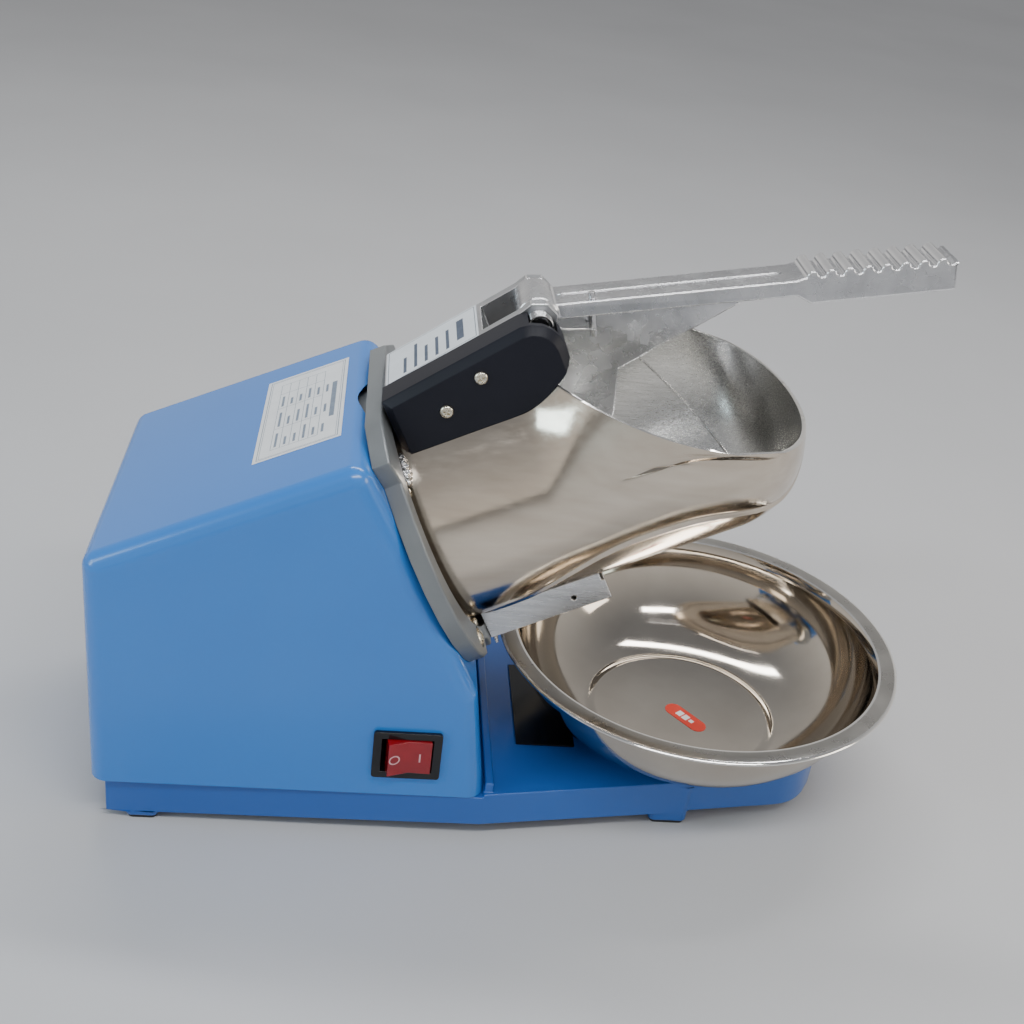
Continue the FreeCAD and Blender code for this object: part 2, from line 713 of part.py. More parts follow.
def make_snow_chute():
    low_v = -0.8
    outer = box(plate_thickness + 0.2, 67.0, -26.0, 26.0, low_v, 14.5)
    chute = outer.cut(box(0, 80, -24.4, 24.4, low_v + 1.6, 30)).cut(hopper_space())
    for y in (-26.0, 24.4):
        chute = chute.fuse(box(65.4, 68.6, y, y + 1.6, low_v, 10.0))
        chute = chute.cut(rod_y(y - 1, y + 3, 1.3, 52.0, 5.5))
    for y in (-15.0, 15.0):
        tab = box(plate_thickness, plate_thickness + 1.5, y - 6, y + 6, -8.0, low_v + 1.6)
        chute = chute.fuse(tab.cut(rod_x(0, 20, 1.5, y, -4.6)))
    return on_incline(chute.removeSplitter())


# Bowl

def make_bowl():
    low = deck_z + body_gap
    rim_z = low + bowl_height
    wall = bowl_wall
    flange = 10.0

    def outline(inner):
        shift = wall if inner else 0.0
        start = Vec(0, 0, low + shift)
        foot = Vec(bowl_foot_radius - shift * 0.3, 0, low + shift)
        swell = Vec(76.0 - shift * 0.8, 0, low + 15.0 + shift * 0.6)
        shoulder = Vec(bowl_radius - flange - shift, 0, rim_z - 1.2)
        return start, foot, swell, shoulder

    start, foot, swell, shoulder = outline(False)
    start_in, foot_in, swell_in, shoulder_in = outline(True)
    rim_out = Vec(bowl_radius, 0, rim_z - 1.2 - wall)
    rim_top = Vec(bowl_radius, 0, rim_z)
    lip_inside = Vec(bowl_radius - 1.6, 0, rim_z - 1.2)
    edges = [Part.LineSegment(start, foot).toShape(),
             Part.Arc(foot, swell, shoulder - Vec(0, 0, wall)).toShape(),
             Part.LineSegment(shoulder - Vec(0, 0, wall), rim_out).toShape(),
             Part.LineSegment(rim_out, rim_top).toShape(),
             Part.LineSegment(rim_top, Vec(bowl_radius - 1.2, 0, rim_z)).toShape(),
             Part.LineSegment(Vec(bowl_radius - 1.2, 0, rim_z), lip_inside).toShape(),
             Part.LineSegment(lip_inside, shoulder_in).toShape(),
             Part.Arc(shoulder_in, swell_in, foot_in).toShape(),
             Part.LineSegment(foot_in, start_in).toShape(),
             Part.LineSegment(start_in, start).toShape()]
    face = Part.Face(Part.Wire(edges))
    bowl = face.revolve(Vec(0, 0, 0), Vec(0, 0, 1), 360)
    bowl.translate(Vec(bowl_x, 0, 0))
    return bowl


def make_bowl_sticker():
    low = deck_z + body_gap + bowl_wall
    half = 8.0
    radius = 4.6
    pill = box(-half, half, -radius, radius, low, low + 0.15)
    pill = pill.fuse(rod_z(low, low + 0.15, radius, -half)).fuse(rod_z(low, low + 0.15, radius, half))
    pill.rotate(Vec(0, 0, 0), Vec(0, 0, 1), -52)
    pill.translate(Vec(bowl_x + 2.0, -6.0, 0))
    return pill.removeSplitter()


# Blade disc and drive

def make_blade_disc():
    disc = rod_x(4.0, 8.0, disc_radius, 0, hopper_centre_v)
    for side in (1, -1):
        slot = box(0, 20, 13.0, 44.0, hopper_centre_v - 6.0, hopper_centre_v + 2.0)
        if side < 0:
            slot.rotate(Vec(0, 0, hopper_centre_v), Vec(1, 0, 0), 180)
        disc = disc.cut(slot)
    disc = disc.fuse(rod_x(-6.0, 4.0, 11.0, 0, hopper_centre_v))
    disc = disc.cut(rod_x(-20, 20, shaft_radius, 0, hopper_centre_v))
    for y, v in blade_screw_places:
        disc = disc.cut(rod_x(0, 20, 1.5, y, v))
    return on_incline(disc)


blade_screw_places = [(19.0, hopper_centre_v + 8.0), (38.0, hopper_centre_v + 8.0),
                      (-19.0, hopper_centre_v - 8.0), (-38.0, hopper_centre_v - 8.0)]


def make_blades():
    outline = [(8.0, 12.5), (10.0, 12.5), (10.0, 1.0), (9.2, -3.0), (8.0, 1.0)]
    blades = []
    for side in (1, -1):
        blade = slab_y([(s, hopper_centre_v + v) for s, v in outline], 13.5, 43.5)
        for y, v in blade_screw_places[:2]:
            blade = blade.cut(rod_x(0, 20, 1.55, y, v))
        if side < 0:
            blade.rotate(Vec(0, 0, hopper_centre_v), Vec(1, 0, 0), 180)
        blades.append(blade)
    return on_incline(Part.makeCompound(blades))


def make_blade_screws():
    screws = [on_incline(pan_screw_x(10.0, y, v, 2.8, 1.5, 6.0)) for y, v in blade_screw_places]
    return Part.makeCompound(screws)


def make_disc_nut():
    corners = [Vec(9.4, 9.0 * math.cos(math.radians(60 * k)),
                   hopper_centre_v + 9.0 * math.sin(math.radians(60 * k))) for k in range(7)]
    nut = Part.Face(Part.makePolygon(corners)).extrude(Vec(6.0, 0, 0))
    nut = nut.fuse(rod_x(15.4, 17.4, 7.0, 0, hopper_centre_v))
    return on_incline(nut.cut(rod_x(0, 14.0, 4.0, 0, hopper_centre_v)))


def make_disc_washer():
    washer = tube_x(8.0, 9.4, 11.0, 4.2, 0, hopper_centre_v)
    return on_incline(washer)


def make_rotor_shaft():
    shaft = rod_x(-118, 8.0, shaft_radius, 0, hopper_centre_v)
    shaft = shaft.fuse(rod_x(8.0, 14.0, 4.0, 0, hopper_centre_v))
    return on_incline(shaft.fuse(rod_x(-86, -44, 24.0, 0, hopper_centre_v)))


def make_cooling_fan():
    hub = tube_x(-115.5, -106.5, 10.0, shaft_radius, 0, hopper_centre_v)
    fan = hub
    for index in range(8):
        blade = box(-115.0, -107.0, -0.9, 0.9, 8.5, 33.0)
        blade.rotate(Vec(-111, 0, 20), Vec(0, 0, 1), 32)
        blade.rotate(Vec(0, 0, 0), Vec(1, 0, 0), index * 45)
        blade.translate(Vec(0, 0, hopper_centre_v))
        fan = fan.fuse(blade)
    return on_incline(fan.cut(rod_x(-120, -100, shaft_radius, 0, hopper_centre_v)))


def make_motor_front_bell():
    bell = rod_x(-36.0, -24.0, 47.0, 0, hopper_centre_v)
    bell = bell.cut(rod_x(-38.0, -28.0, 43.0, 0, hopper_centre_v))
    bell = bell.fuse(rod_x(-38.0, -27.0, 19.0, 0, hopper_centre_v))
    bell = bell.cut(rod_x(-40.0, -30.0, 16.0, 0, hopper_centre_v)).cut(rod_x(-50, 0, 9.0, 0, hopper_centre_v))
    for angle in motor_bolt_angles:
        y, v = motor_bolt_place(angle)
        bell = bell.fuse(rod_x(-34.0, -24.0, 5.0, y, v)).cut(rod_x(-50, -20, 2.2, y, v))
    bell = bell.fuse(tube_x(-24.0, -21.0, 15.0, 13.05, 0, hopper_centre_v))
    return on_incline(bell)


def make_motor_rear_bell():
    bell = rod_x(-104.0, -94.0, 47.0, 0, hopper_centre_v)
    bell = bell.cut(rod_x(-101.0, -90.0, 43.0, 0, hopper_centre_v))
    bell = bell.fuse(rod_x(-104.0, -92.0, 19.0, 0, hopper_centre_v))
    bell = bell.cut(rod_x(-101.0, -90.0, 16.0, 0, hopper_centre_v))
    bell = bell.cut(rod_x(-110, 0, 9.0, 0, hopper_centre_v))
    for index in range(6):
        angle = math.radians(30 + 60 * index)
        bell = bell.cut(rod_x(-110, -98, 6.5, 31 * math.cos(angle), hopper_centre_v + 31 * math.sin(angle)))
    for angle in motor_bolt_angles:
        y, v = motor_bolt_place(angle)
        bell = bell.fuse(rod_x(-104.0, -94.0, 5.0, y, v)).cut(rod_x(-120, -80, 2.2, y, v))
    return on_incline(bell)


def make_motor_can():
    return on_incline(tube_x(-94.0, -36.0, 47.0, 45.2, 0, hopper_centre_v))


def make_stator_core():
    core = tube_x(-86.0, -44.0, 45.2, 24.6, 0, hopper_centre_v)
    for angle in motor_bolt_angles:
        y, v = motor_bolt_place(angle)
        core = core.cut(rod_x(-100, -30, 2.6, y, v))
    return on_incline(core)


def make_windings():
    front = tube_x(-43.6, -37.5, 35.0, 26.0, 0, hopper_centre_v)
    rear = tube_x(-93.0, -86.4, 35.0, 26.0, 0, hopper_centre_v)
    return on_incline(Part.makeCompound([front, rear]))


def make_bearings():
    front = tube_x(-37.5, -30.0, 16.0, shaft_radius + running_gap, 0, hopper_centre_v)
    rear = tube_x(-101.0, -93.5, 16.0, shaft_radius + running_gap, 0, hopper_centre_v)
    return on_incline(Part.makeCompound([front, rear]))


def make_shaft_seal():
    return on_incline(tube_x(-23.5, -19.5, 13.0, shaft_radius + 0.08, 0, hopper_centre_v))


def make_motor_bolts():
    bolts = []
    for angle in motor_bolt_angles:
        y, v = motor_bolt_place(angle)
        bolts.append(on_incline(rod_x(-109.0, -104.0, 4.0, y, v).fuse(rod_x(-104.0, -19.5, 2.1, y, v))))
    return Part.makeCompound(bolts)


# Electrical parts

def make_capacitor():
    case = rod_y(-24, 24, 13.0, front_x - 26.0, cover_bottom_z + 19.0)
    return case


def make_capacitor_clip():
    x = front_x - 26.0
    z = cover_bottom_z + 19.0
    clip = rod_y(-6, 6, 14.2, x, z).cut(rod_y(-8, 8, 13.0, x, z))
    clip = clip.cut(box(x - 20, x + 20, -8, 8, z + 4, z + 20))
    clip = clip.fuse(box(x - 20, x - 8, -6, 6, cover_bottom_z - 0.2, cover_bottom_z + 1.2))
    strut = box(x - 12.5, x - 8, -6, 6, cover_bottom_z + 1.0, z - 8).cut(rod_y(-8, 8, 13.0, x, z))
    return clip.fuse(strut).removeSplitter()


def make_terminal_block():
    x = front_x - 160.0
    block = box(x - 5, x + 5, -22, 22, cover_bottom_z - 0.2, cover_bottom_z + 11)
    for index in range(5):
        y = -17.6 + index * 8.8
        block = block.cut(rod_z(cover_bottom_z + 6, cover_bottom_z + 12, 2.2, x, y))
        block = block.cut(rod_x(x - 8, x + 8, 1.3, y, cover_bottom_z + 4))
    return block


def make_cord_gland():
    rear = front_x - cover_length
    gland = rod_x(rear - 5.0, rear, 10.0, gland_y, gland_z)
    gland = gland.fuse(rod_x(rear, rear + cover_wall + 5.0, 7.0, gland_y, gland_z))
    cone = Part.makeCone(6.2, 7.8, 7.0, Vec(rear - 12.0, gland_y, gland_z), Vec(1, 0, 0))
    return gland.fuse(cone).cut(rod_x(rear - 20, rear + 20, 3.6, gland_y, gland_z)).removeSplitter()


def make_gland_nut():
    start = front_x - cover_length + cover_wall
    corners = [Vec(start, gland_y + 10.5 * math.cos(math.radians(60 * k)),
                   gland_z + 10.5 * math.sin(math.radians(60 * k))) for k in range(7)]
    nut = Part.Face(Part.makePolygon(corners)).extrude(Vec(3.5, 0, 0))
    return nut.cut(rod_x(start - 5, start + 9, 7.0, gland_y, gland_z))


rocker_tilt_deg = 9.0


def make_rocker_case():
    face_y = -cover_half_width
    bezel = box(switch_x - 15.6, switch_x + 15.6, face_y - 2.0, face_y, switch_z - 13.0, switch_z + 13.0)
    bezel = round_edges(bezel, 1.6, lambda edge: runs_along(edge, Vec(0, 1, 0)))
    body = box(switch_x - 14.0, switch_x + 14.0, face_y, face_y + 26.0, switch_z - 11.0, switch_z + 11.0)
    case = bezel.fuse(body)
    case = case.cut(box(switch_x - 11.6, switch_x + 11.6, face_y - 3, face_y + 13.0,
                        switch_z - 9.4, switch_z + 9.4))
    case = case.cut(rod_z(switch_z - 10.6, switch_z + 10.6, 1.5 + running_gap, switch_x, face_y + 4.0))
    for index in range(3):
        x = switch_x - 8.0 + index * 8.0
        case = case.fuse(box(x - 0.4, x + 0.4, face_y + 25.0, face_y + 34.0, switch_z - 3.2, switch_z + 3.2))
    return case


def make_rocker():
    pivot_y = -cover_half_width + 4.0
    half = 9.9
    top = -cover_half_width - 4.6
    outline = [(-half, top), (0, top + 1.9), (half, top), (half, pivot_y - 0.5), (4.0, pivot_y + 5.0),
               (-4.0, pivot_y + 5.0), (-half, pivot_y - 0.5)]
    rocker = slab_z([(switch_x + x, y) for x, y in outline], switch_z - 9.0, switch_z + 9.0)
    axle = rod_z(switch_z - 10.4, switch_z + 10.4, 1.5, switch_x, pivot_y)
    rocker = rocker.fuse(axle)
    rocker.rotate(Vec(switch_x, pivot_y, switch_z), Vec(0, 0, 1), rocker_tilt_deg)
    return rocker


# Labels

def make_rating_label():
    roof = math.atan2(top_z - cover_rear_z, cover_length - top_back)
    start = 73.0
    length = 41.0
    label = box(start, start + length, -34.0, 49.0, 0.02, 0.17)
    label = round_edges(label, 1.5, lambda edge: runs_along(edge, Vec(0, 0, 1)))
    turn = FreeCAD.Rotation(Vec(0, 1, 0), -math.degrees(roof))
    label.Placement = FreeCAD.Placement(Vec(front_x - cover_length, 0, cover_rear_z), turn)
    return label


def make_bracket_label():
    slope = math.atan2(hinge_v + 7.0 - 134.0, hinge_s - 6.4 - 10.0)
    label = box(1.0, 47.5, -17.6, 17.6, 0.02, 0.17)
    label.rotate(Vec(0, 0, 0), Vec(0, 1, 0), -math.degrees(slope))
    label.translate(Vec(10.0, 0, 134.0))
    return on_incline(label)


makers = {
    "base_casting": make_base,
    "foot_pads": make_foot_pads,
    "foot_screws": make_foot_screws,
    "bottom_plate": make_bottom_plate,
    "bottom_plate_screws": make_bottom_screws,
    "drip_pad": make_drip_pad,
    "body_cover": make_body_cover,
    "cover_screws": make_cover_screws,
    "rating_label": make_rating_label,
    "face_plate": make_face_plate,
    "face_plate_bolts": make_plate_bolts,
    "face_plate_nuts": make_plate_nuts,
    "upper_plate_screws": make_upper_plate_screws,
    "hopper_barrel": make_hopper_barrel,
    "hopper_screws": make_hopper_screws,
    "hinge_bracket": make_hinge_bracket,
    "bracket_screws": make_bracket_screws,
    "bracket_label": make_bracket_label,
    "hinge_pin": make_hinge_pin,
    "hinge_pin_clip": make_pin_clip,
    "return_spring": make_return_spring,
    "switch_housing": make_switch_housing,
    "switch_housing_screws": make_switch_screws,
    "microswitch": make_microswitch,
    "microswitch_plunger": make_microswitch_plunger,
    "switch_lead": make_switch_lead,
    "press_lever": make_press_lever,
    "press_plate": make_press_plate,
    "press_plate_screws": make_press_screws,
    "spring_peg": make_spring_peg,
    "snow_chute": make_snow_chute,
    "bowl": make_bowl,
    "bowl_sticker": make_bowl_sticker,
    "blade_disc": make_blade_disc,
    "shaving_blades": make_blades,
    "blade_screws": make_blade_screws,
    "disc_nut": make_disc_nut,
    "disc_washer": make_disc_washer,
    "rotor_shaft": make_rotor_shaft,
    "cooling_fan": make_cooling_fan,
    "motor_front_bell": make_motor_front_bell,
    "motor_rear_bell": make_motor_rear_bell,
    "motor_can": make_motor_can,
    "stator_core": make_stator_core,
    "stator_windings": make_windings,
    "motor_bearings": make_bearings,
    "shaft_seal": make_shaft_seal,
    "motor_bolts": make_motor_bolts,
    "start_capacitor": make_capacitor,
    "capacitor_clip": make_capacitor_clip,
    "terminal_block": make_terminal_block,
    "cord_gland": make_cord_gland,
    "gland_nut": make_gland_nut,
    "rocker_case": make_rocker_case,
    "rocker_button": make_rocker,
}

os.makedirs("parts", exist_ok=True)
for name, make in makers.items():
    shape = make()
    valid = shape.isValid() and all(solid.Volume > 0 for solid in shape.Solids)
    print(name, "solids", len(shape.Solids), "valid", valid, "volume", round(shape.Volume))
    shape.exportStep("parts/" + name + ".step")
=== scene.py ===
import math
import random

import bmesh
import bpy
from mathutils import Matrix, Vector, noise
from mathutils.bvhtree import BVHTree


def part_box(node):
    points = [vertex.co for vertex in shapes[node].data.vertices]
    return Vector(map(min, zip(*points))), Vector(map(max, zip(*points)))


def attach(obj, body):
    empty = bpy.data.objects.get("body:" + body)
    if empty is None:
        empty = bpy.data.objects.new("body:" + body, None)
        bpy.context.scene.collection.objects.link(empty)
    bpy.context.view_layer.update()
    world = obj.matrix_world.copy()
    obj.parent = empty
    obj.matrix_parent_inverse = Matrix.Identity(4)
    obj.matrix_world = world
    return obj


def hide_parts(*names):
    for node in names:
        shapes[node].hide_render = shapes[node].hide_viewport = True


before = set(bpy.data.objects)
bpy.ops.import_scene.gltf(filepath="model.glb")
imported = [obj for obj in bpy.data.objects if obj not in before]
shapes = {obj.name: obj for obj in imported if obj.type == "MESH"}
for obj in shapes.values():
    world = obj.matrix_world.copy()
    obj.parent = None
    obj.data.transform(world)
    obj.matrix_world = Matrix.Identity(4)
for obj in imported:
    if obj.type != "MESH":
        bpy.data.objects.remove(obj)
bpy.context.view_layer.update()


# ---------------------------------------------------------------- camera, table and light
# The camera looks down on the roof, the open barrel and the bowl from the front left,
# through a long lens, and leans a little. The table is a plain pale sheet.

heading, drop, lean = math.radians(-7.2), math.radians(29.3), math.radians(-7.5)
forward = Vector((-math.sin(heading) * math.cos(drop),
                  math.cos(heading) * math.cos(drop), -math.sin(drop)))
level_right = Vector((math.cos(heading), math.sin(heading), 0))
level_down = forward.cross(level_right)
right = math.cos(lean) * level_right + math.sin(lean) * level_down
down = -math.sin(lean) * level_right + math.cos(lean) * level_down
camera_data = bpy.data.cameras.new("camera")
camera_data.sensor_width = 36.0
camera_data.lens = 48.164
camera_data.clip_start = 0.02
camera = bpy.data.objects.new("camera", camera_data)
turned_axes = Matrix((right, -down, -forward)).transposed().to_4x4()
camera.matrix_world = Matrix.Translation((-0.0726, -0.5587, 0.4542)) @ turned_axes
bpy.context.scene.collection.objects.link(camera)
bpy.context.scene.camera = camera


def shader(name):
    """A new material, its shader and its node tree."""
    material = bpy.data.materials.new(name)
    material.use_nodes = True
    tree = material.node_tree
    return material, tree.nodes["Principled BSDF"], tree


def spots(tree, scale, detail=4.0, stretch=(1, 1, 1), turn=(0, 0, 0)):
    """Noise on the object's own coordinates, stretched and turned to follow a grain."""
    place = tree.nodes.new("ShaderNodeTexCoord")
    mapping = tree.nodes.new("ShaderNodeMapping")
    mapping.inputs["Scale"].default_value = stretch
    mapping.inputs["Rotation"].default_value = turn
    texture = tree.nodes.new("ShaderNodeTexNoise")
    texture.inputs["Scale"].default_value = scale
    texture.inputs["Detail"].default_value = detail
    tree.links.new(place.outputs["Object"], mapping.inputs["Vector"])
    tree.links.new(mapping.outputs["Vector"], texture.inputs["Vector"])
    return texture.outputs["Fac"]


def tint(tree, source, target, first, second):
    """Blend between two colours with a 0 to 1 pattern."""
    ramp = tree.nodes.new("ShaderNodeValToRGB")
    ramp.color_ramp.elements[0].position = 0.3
    ramp.color_ramp.elements[1].position = 0.7
    ramp.color_ramp.elements[0].color = (*first, 1)
    ramp.color_ramp.elements[1].color = (*second, 1)
    tree.links.new(source, ramp.inputs["Fac"])
    tree.links.new(ramp.outputs["Color"], target)


def placed(name, mesh, *materials):
    """Link a finished mesh as an object at the origin."""
    piece = bpy.data.objects.new(name, mesh)
    bpy.context.scene.collection.objects.link(piece)
    for material in materials:
        mesh.materials.append(material)
    return piece


def table_paper():
    """A plain pale sheet, a little uneven in tone."""
    material, surface, tree = shader("table paper")
    surface.inputs["Roughness"].default_value = 0.85
    tint(tree, spots(tree, 3.0), surface.inputs["Base Color"],
         (0.55, 0.55, 0.56), (0.59, 0.59, 0.60))
    return material


table_mesh = bpy.data.meshes.new("table")
table_half = 12.0
table_corners = [(x * table_half, y * table_half, 0) for x, y in ((-1, -1), (1, -1), (1, 1), (-1, 1))]
table_mesh.from_pydata(table_corners, [], [(0, 1, 2, 3)])
table = placed("table", table_mesh, table_paper())


def soft_box(name, place, aim, width, height, power, warmth=(1, 1, 1)):
    """A rectangular lamp at a place, turned towards what it lights."""
    lamp = bpy.data.lights.new(name, "AREA")
    lamp.shape = "RECTANGLE"
    lamp.size = width
    lamp.size_y = height
    lamp.energy = power
    lamp.color = warmth
    stand = bpy.data.objects.new(name, lamp)
    stand.rotation_mode = "QUATERNION"
    stand.rotation_quaternion = (Vector(aim) - Vector(place)).to_track_quat("-Z", "Y")
    stand.location = place
    bpy.context.scene.collection.objects.link(stand)


soft_box("ceiling strip front", (0.10, -0.75, 1.35), (0.0, 0.0, 0.1), 1.3, 0.14, 11.0)
soft_box("ceiling strip rear", (0.10, 0.55, 1.35), (0.0, 0.0, 0.1), 1.3, 0.14, 10.0)
soft_box("window left", (-1.30, -0.60, 0.70), (0.0, 0.0, 0.1), 0.45, 0.7, 6.0, (0.72, 0.92, 1.0))
soft_box("bounce right", (1.20, -0.35, 0.55), (0.05, 0.0, 0.12), 0.4, 0.5, 3.0, (1.0, 0.93, 0.82))

room = bpy.data.worlds.new("room")
bpy.context.scene.world = room
room.use_nodes = True
backdrop = room.node_tree.nodes["Background"]
direction = room.node_tree.nodes.new("ShaderNodeTexCoord")
parts = room.node_tree.nodes.new("ShaderNodeSeparateXYZ")
shade = room.node_tree.nodes.new("ShaderNodeValToRGB")
shade.color_ramp.elements[0].position = 0.0
shade.color_ramp.elements[0].color = (0.92, 0.90, 0.87, 1)
shade.color_ramp.elements[1].position = 0.85
shade.color_ramp.elements[1].color = (0.30, 0.31, 0.33, 1)
room.node_tree.links.new(direction.outputs["Generated"], parts.inputs["Vector"])
room.node_tree.links.new(parts.outputs["Z"], shade.inputs["Fac"])
room.node_tree.links.new(shade.outputs["Color"], backdrop.inputs["Color"])
backdrop.inputs["Strength"].default_value = 0.85


# ---------------------------------------------------------------- base with its tongue
# The base is a pressed and painted steel tray with a long tongue for the bowl. It takes a darker copy of the
# cover's blue enamel, a painted shade for the inset base under the cover, and its edges are rolled over.

MM = 0.001


def eased(node, name, radius, *materials, slot, steps=2, body="machine"):
    """The worked piece for a CAD node: the same shape, with its hard edges eased by radius."""
    weld_distance = 0.003 * MM
    flat_angle, hard_angle, crisp_angle = math.radians(0.6), math.radians(35), math.radians(42)
    form = bmesh.new()
    form.from_mesh(shapes[node].data)
    bmesh.ops.remove_doubles(form, verts=form.verts, dist=weld_distance)
    bmesh.ops.dissolve_limit(form, angle_limit=flat_angle, verts=form.verts, edges=form.edges)
    hard = [edge for edge in form.edges
            if len(edge.link_faces) == 2 and edge.calc_face_angle(0) > hard_angle]
    eased_faces = bmesh.ops.bevel(form, geom=hard, offset=radius, segments=steps, profile=0.5,
                                  affect="EDGES", clamp_overlap=False)["faces"]
    for face in form.faces:
        face.smooth = True
        face.material_index = 0
    # A second, brighter material on the eased faces paints a highlight along the hard edges.
    if len(materials) > 1:
        for face in eased_faces:
            face.material_index = 1
    bmesh.ops.remove_doubles(form, verts=form.verts, dist=weld_distance)
    mesh = bpy.data.meshes.new(name)
    form.to_mesh(mesh)
    form.free()
    mesh.set_sharp_from_angle(angle=crisp_angle)
    piece = placed(name, mesh, *materials)
    even = piece.modifiers.new("even shading", "WEIGHTED_NORMAL")
    even.keep_sharp = True
    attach(piece, body)
    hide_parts(node)
    return piece


def dents(tree, source, target, depth, strength=1.0):
    """Bump from a pattern, depth in metres."""
    bump = tree.nodes.new("ShaderNodeBump")
    bump.inputs["Distance"].default_value = depth
    bump.inputs["Strength"].default_value = strength
    tree.links.new(source, bump.inputs["Height"])
    tree.links.new(bump.outputs["Normal"], target)


def enamel(name, deep, light, roughness):
    """Sprayed gloss enamel with a faint orange peel and a clear top layer."""
    material, surface, tree = shader(name)
    tint(tree, spots(tree, 9.0, 2.0), surface.inputs["Base Color"], deep, light)
    surface.inputs["Roughness"].default_value = roughness
    surface.inputs["Coat Weight"].default_value = 0.5
    surface.inputs["Coat Roughness"].default_value = 0.12
    dents(tree, spots(tree, 700.0, 2.0), surface.inputs["Normal"], 0.02 * MM, 0.6)
    return material


# The base's blue is the cover's enamel made darker, as painted shade.
base_blue = enamel("base enamel painted shade", (0.010, 0.098, 0.40), (0.013, 0.110, 0.43), 0.34)
eased("base_casting", "base_tray", 0.7 * MM, base_blue, slot="base_blue")


# ---------------------------------------------------------------- feet, bottom plate, drip pad
# Four rubber pads are screwed under the base, a thin vented plate closes it from below,
# and a black pad lies in a pocket of the tongue under the chute.

def moulded_rubber():
    """Black rubber with a fine moulded grain."""
    material, surface, tree = shader("moulded rubber")
    tint(tree, spots(tree, 90.0), surface.inputs["Base Color"],
         (0.014, 0.014, 0.015), (0.03, 0.03, 0.03))
    surface.inputs["Roughness"].default_value = 0.75
    dents(tree, spots(tree, 900.0), surface.inputs["Normal"], 0.05 * MM)
    return material


def spread(tree, source, target, low, high):
    """Turn a 0 to 1 pattern into values between low and high on a shader socket."""
    remap = tree.nodes.new("ShaderNodeMapRange")
    remap.inputs["From Min"].default_value = 0.3
    remap.inputs["From Max"].default_value = 0.7
    remap.inputs["To Min"].default_value = low
    remap.inputs["To Max"].default_value = high
    tree.links.new(source, remap.inputs["Value"])
    tree.links.new(remap.outputs["Result"], target)


def bright_zinc():
    """Zinc plating with a slight yellow cast."""
    material, surface, tree = shader("bright zinc")
    surface.inputs["Metallic"].default_value = 1.0
    tint(tree, spots(tree, 250.0), surface.inputs["Base Color"],
         (0.66, 0.61, 0.50), (0.84, 0.79, 0.66))
    spread(tree, spots(tree, 600.0), surface.inputs["Roughness"], 0.16, 0.34)
    return material


def rolled_sheet():
    """Plain steel sheet with its rolling grain along X."""
    material, surface, tree = shader("rolled sheet")
    surface.inputs["Metallic"].default_value = 1.0
    grain = spots(tree, 60.0, 3.0, (1, 18, 18))
    tint(tree, grain, surface.inputs["Base Color"], (0.42, 0.42, 0.43), (0.56, 0.56, 0.57))
    spread(tree, grain, surface.inputs["Roughness"], 0.28, 0.45)
    return material


def glossy_black():
    """Black plastic moulded against a polished tool."""
    material, surface, tree = shader("glossy black")
    tint(tree, spots(tree, 60.0), surface.inputs["Base Color"],
         (0.004, 0.004, 0.005), (0.010, 0.010, 0.012))
    surface.inputs["Roughness"].default_value = 0.16
    dents(tree, spots(tree, 500.0), surface.inputs["Normal"], 0.01 * MM)
    return material


def dress(material, *nodes):
    """Give CAD nodes whose shape is right their finish."""
    for node in nodes:
        data = shapes[node].data
        data.materials.clear()
        data.materials.append(material)


rubber = moulded_rubber()
zinc = bright_zinc()
sheet_steel = rolled_sheet()
black_gloss = glossy_black()
eased("foot_pads", "rubber_feet", 0.4 * MM, rubber, slot="rubber")
eased("drip_pad", "drip_mat", 0.15 * MM, black_gloss, slot="black_plastic")
dress(sheet_steel, "bottom_plate", "capacitor_clip")


# ---------------------------------------------------------------- body cover
# One deep-drawn cover goes over the motor. Its corners are broad and soft, it is
# sprayed in gloss blue enamel, and five louvres let the fan's air out at the back.

cover_blue = enamel("cover enamel", (0.024, 0.190, 0.61), (0.028, 0.205, 0.64), 0.26)
eased("body_cover", "cover_shell", 0.35 * MM, cover_blue, slot="blue_paint")


# ---------------------------------------------------------------- rating label
# A white printed film with a thin double border and a table of values is stuck on
# the sloping roof of the cover. Its words are left as plain lines.

def printed(name, paper, ink):
    """Paper and ink for a printed film: two materials with a faint mottle."""
    film, surface, tree = shader(name + " paper")
    tint(tree, spots(tree, 120.0), surface.inputs["Base Color"],
         [0.94 * part for part in paper], paper)
    surface.inputs["Roughness"].default_value = 0.38
    print_ink, surface, tree = shader(name + " ink")
    tint(tree, spots(tree, 400.0), surface.inputs["Base Color"],
         ink, [1.3 * part + 0.01 for part in ink])
    surface.inputs["Roughness"].default_value = 0.5
    return film, print_ink


def closed_mesh(form, name):
    """Turn a finished form's faces outwards and keep it as a mesh."""
    bmesh.ops.recalc_face_normals(form, faces=form.faces)
    mesh = bpy.data.meshes.new(name)
    form.to_mesh(mesh)
    form.free()
    return mesh


def stand_slab(form, lower, upper, number=0):
    """A four-sided slab between two rings of places, in the material of that number."""
    low, high = ([form.verts.new(place) for place in ring] for ring in (lower, upper))
    faces = [form.faces.new(low[::-1]), form.faces.new(high)]
    for i in range(4):
        after = (i + 1) % 4
        faces.append(form.faces.new((low[i], low[after], high[after], high[i])))
    for face in faces:
        face.material_index = number


def label_frame(node):
    """The outer face of a thin sloping label: a corner, its two directions and its two sizes."""
    data = shapes[node].data
    points = [vertex.co.copy() for vertex in data.vertices]
    normal = max(data.polygons, key=lambda polygon: polygon.area).normal.copy()
    if normal.z < 0:
        normal = -normal
    across = Vector((0, 1, 0))
    along = across.cross(normal).normalized()
    height = max(point.dot(normal) for point in points)
    first = min(point.dot(along) for point in points)
    last = max(point.dot(along) for point in points)
    side = min(point.y for point in points)
    width = max(point.y for point in points) - side
    corner = along * first + normal * height + across * side
    return corner, along, across, (last - first) / MM, width / MM


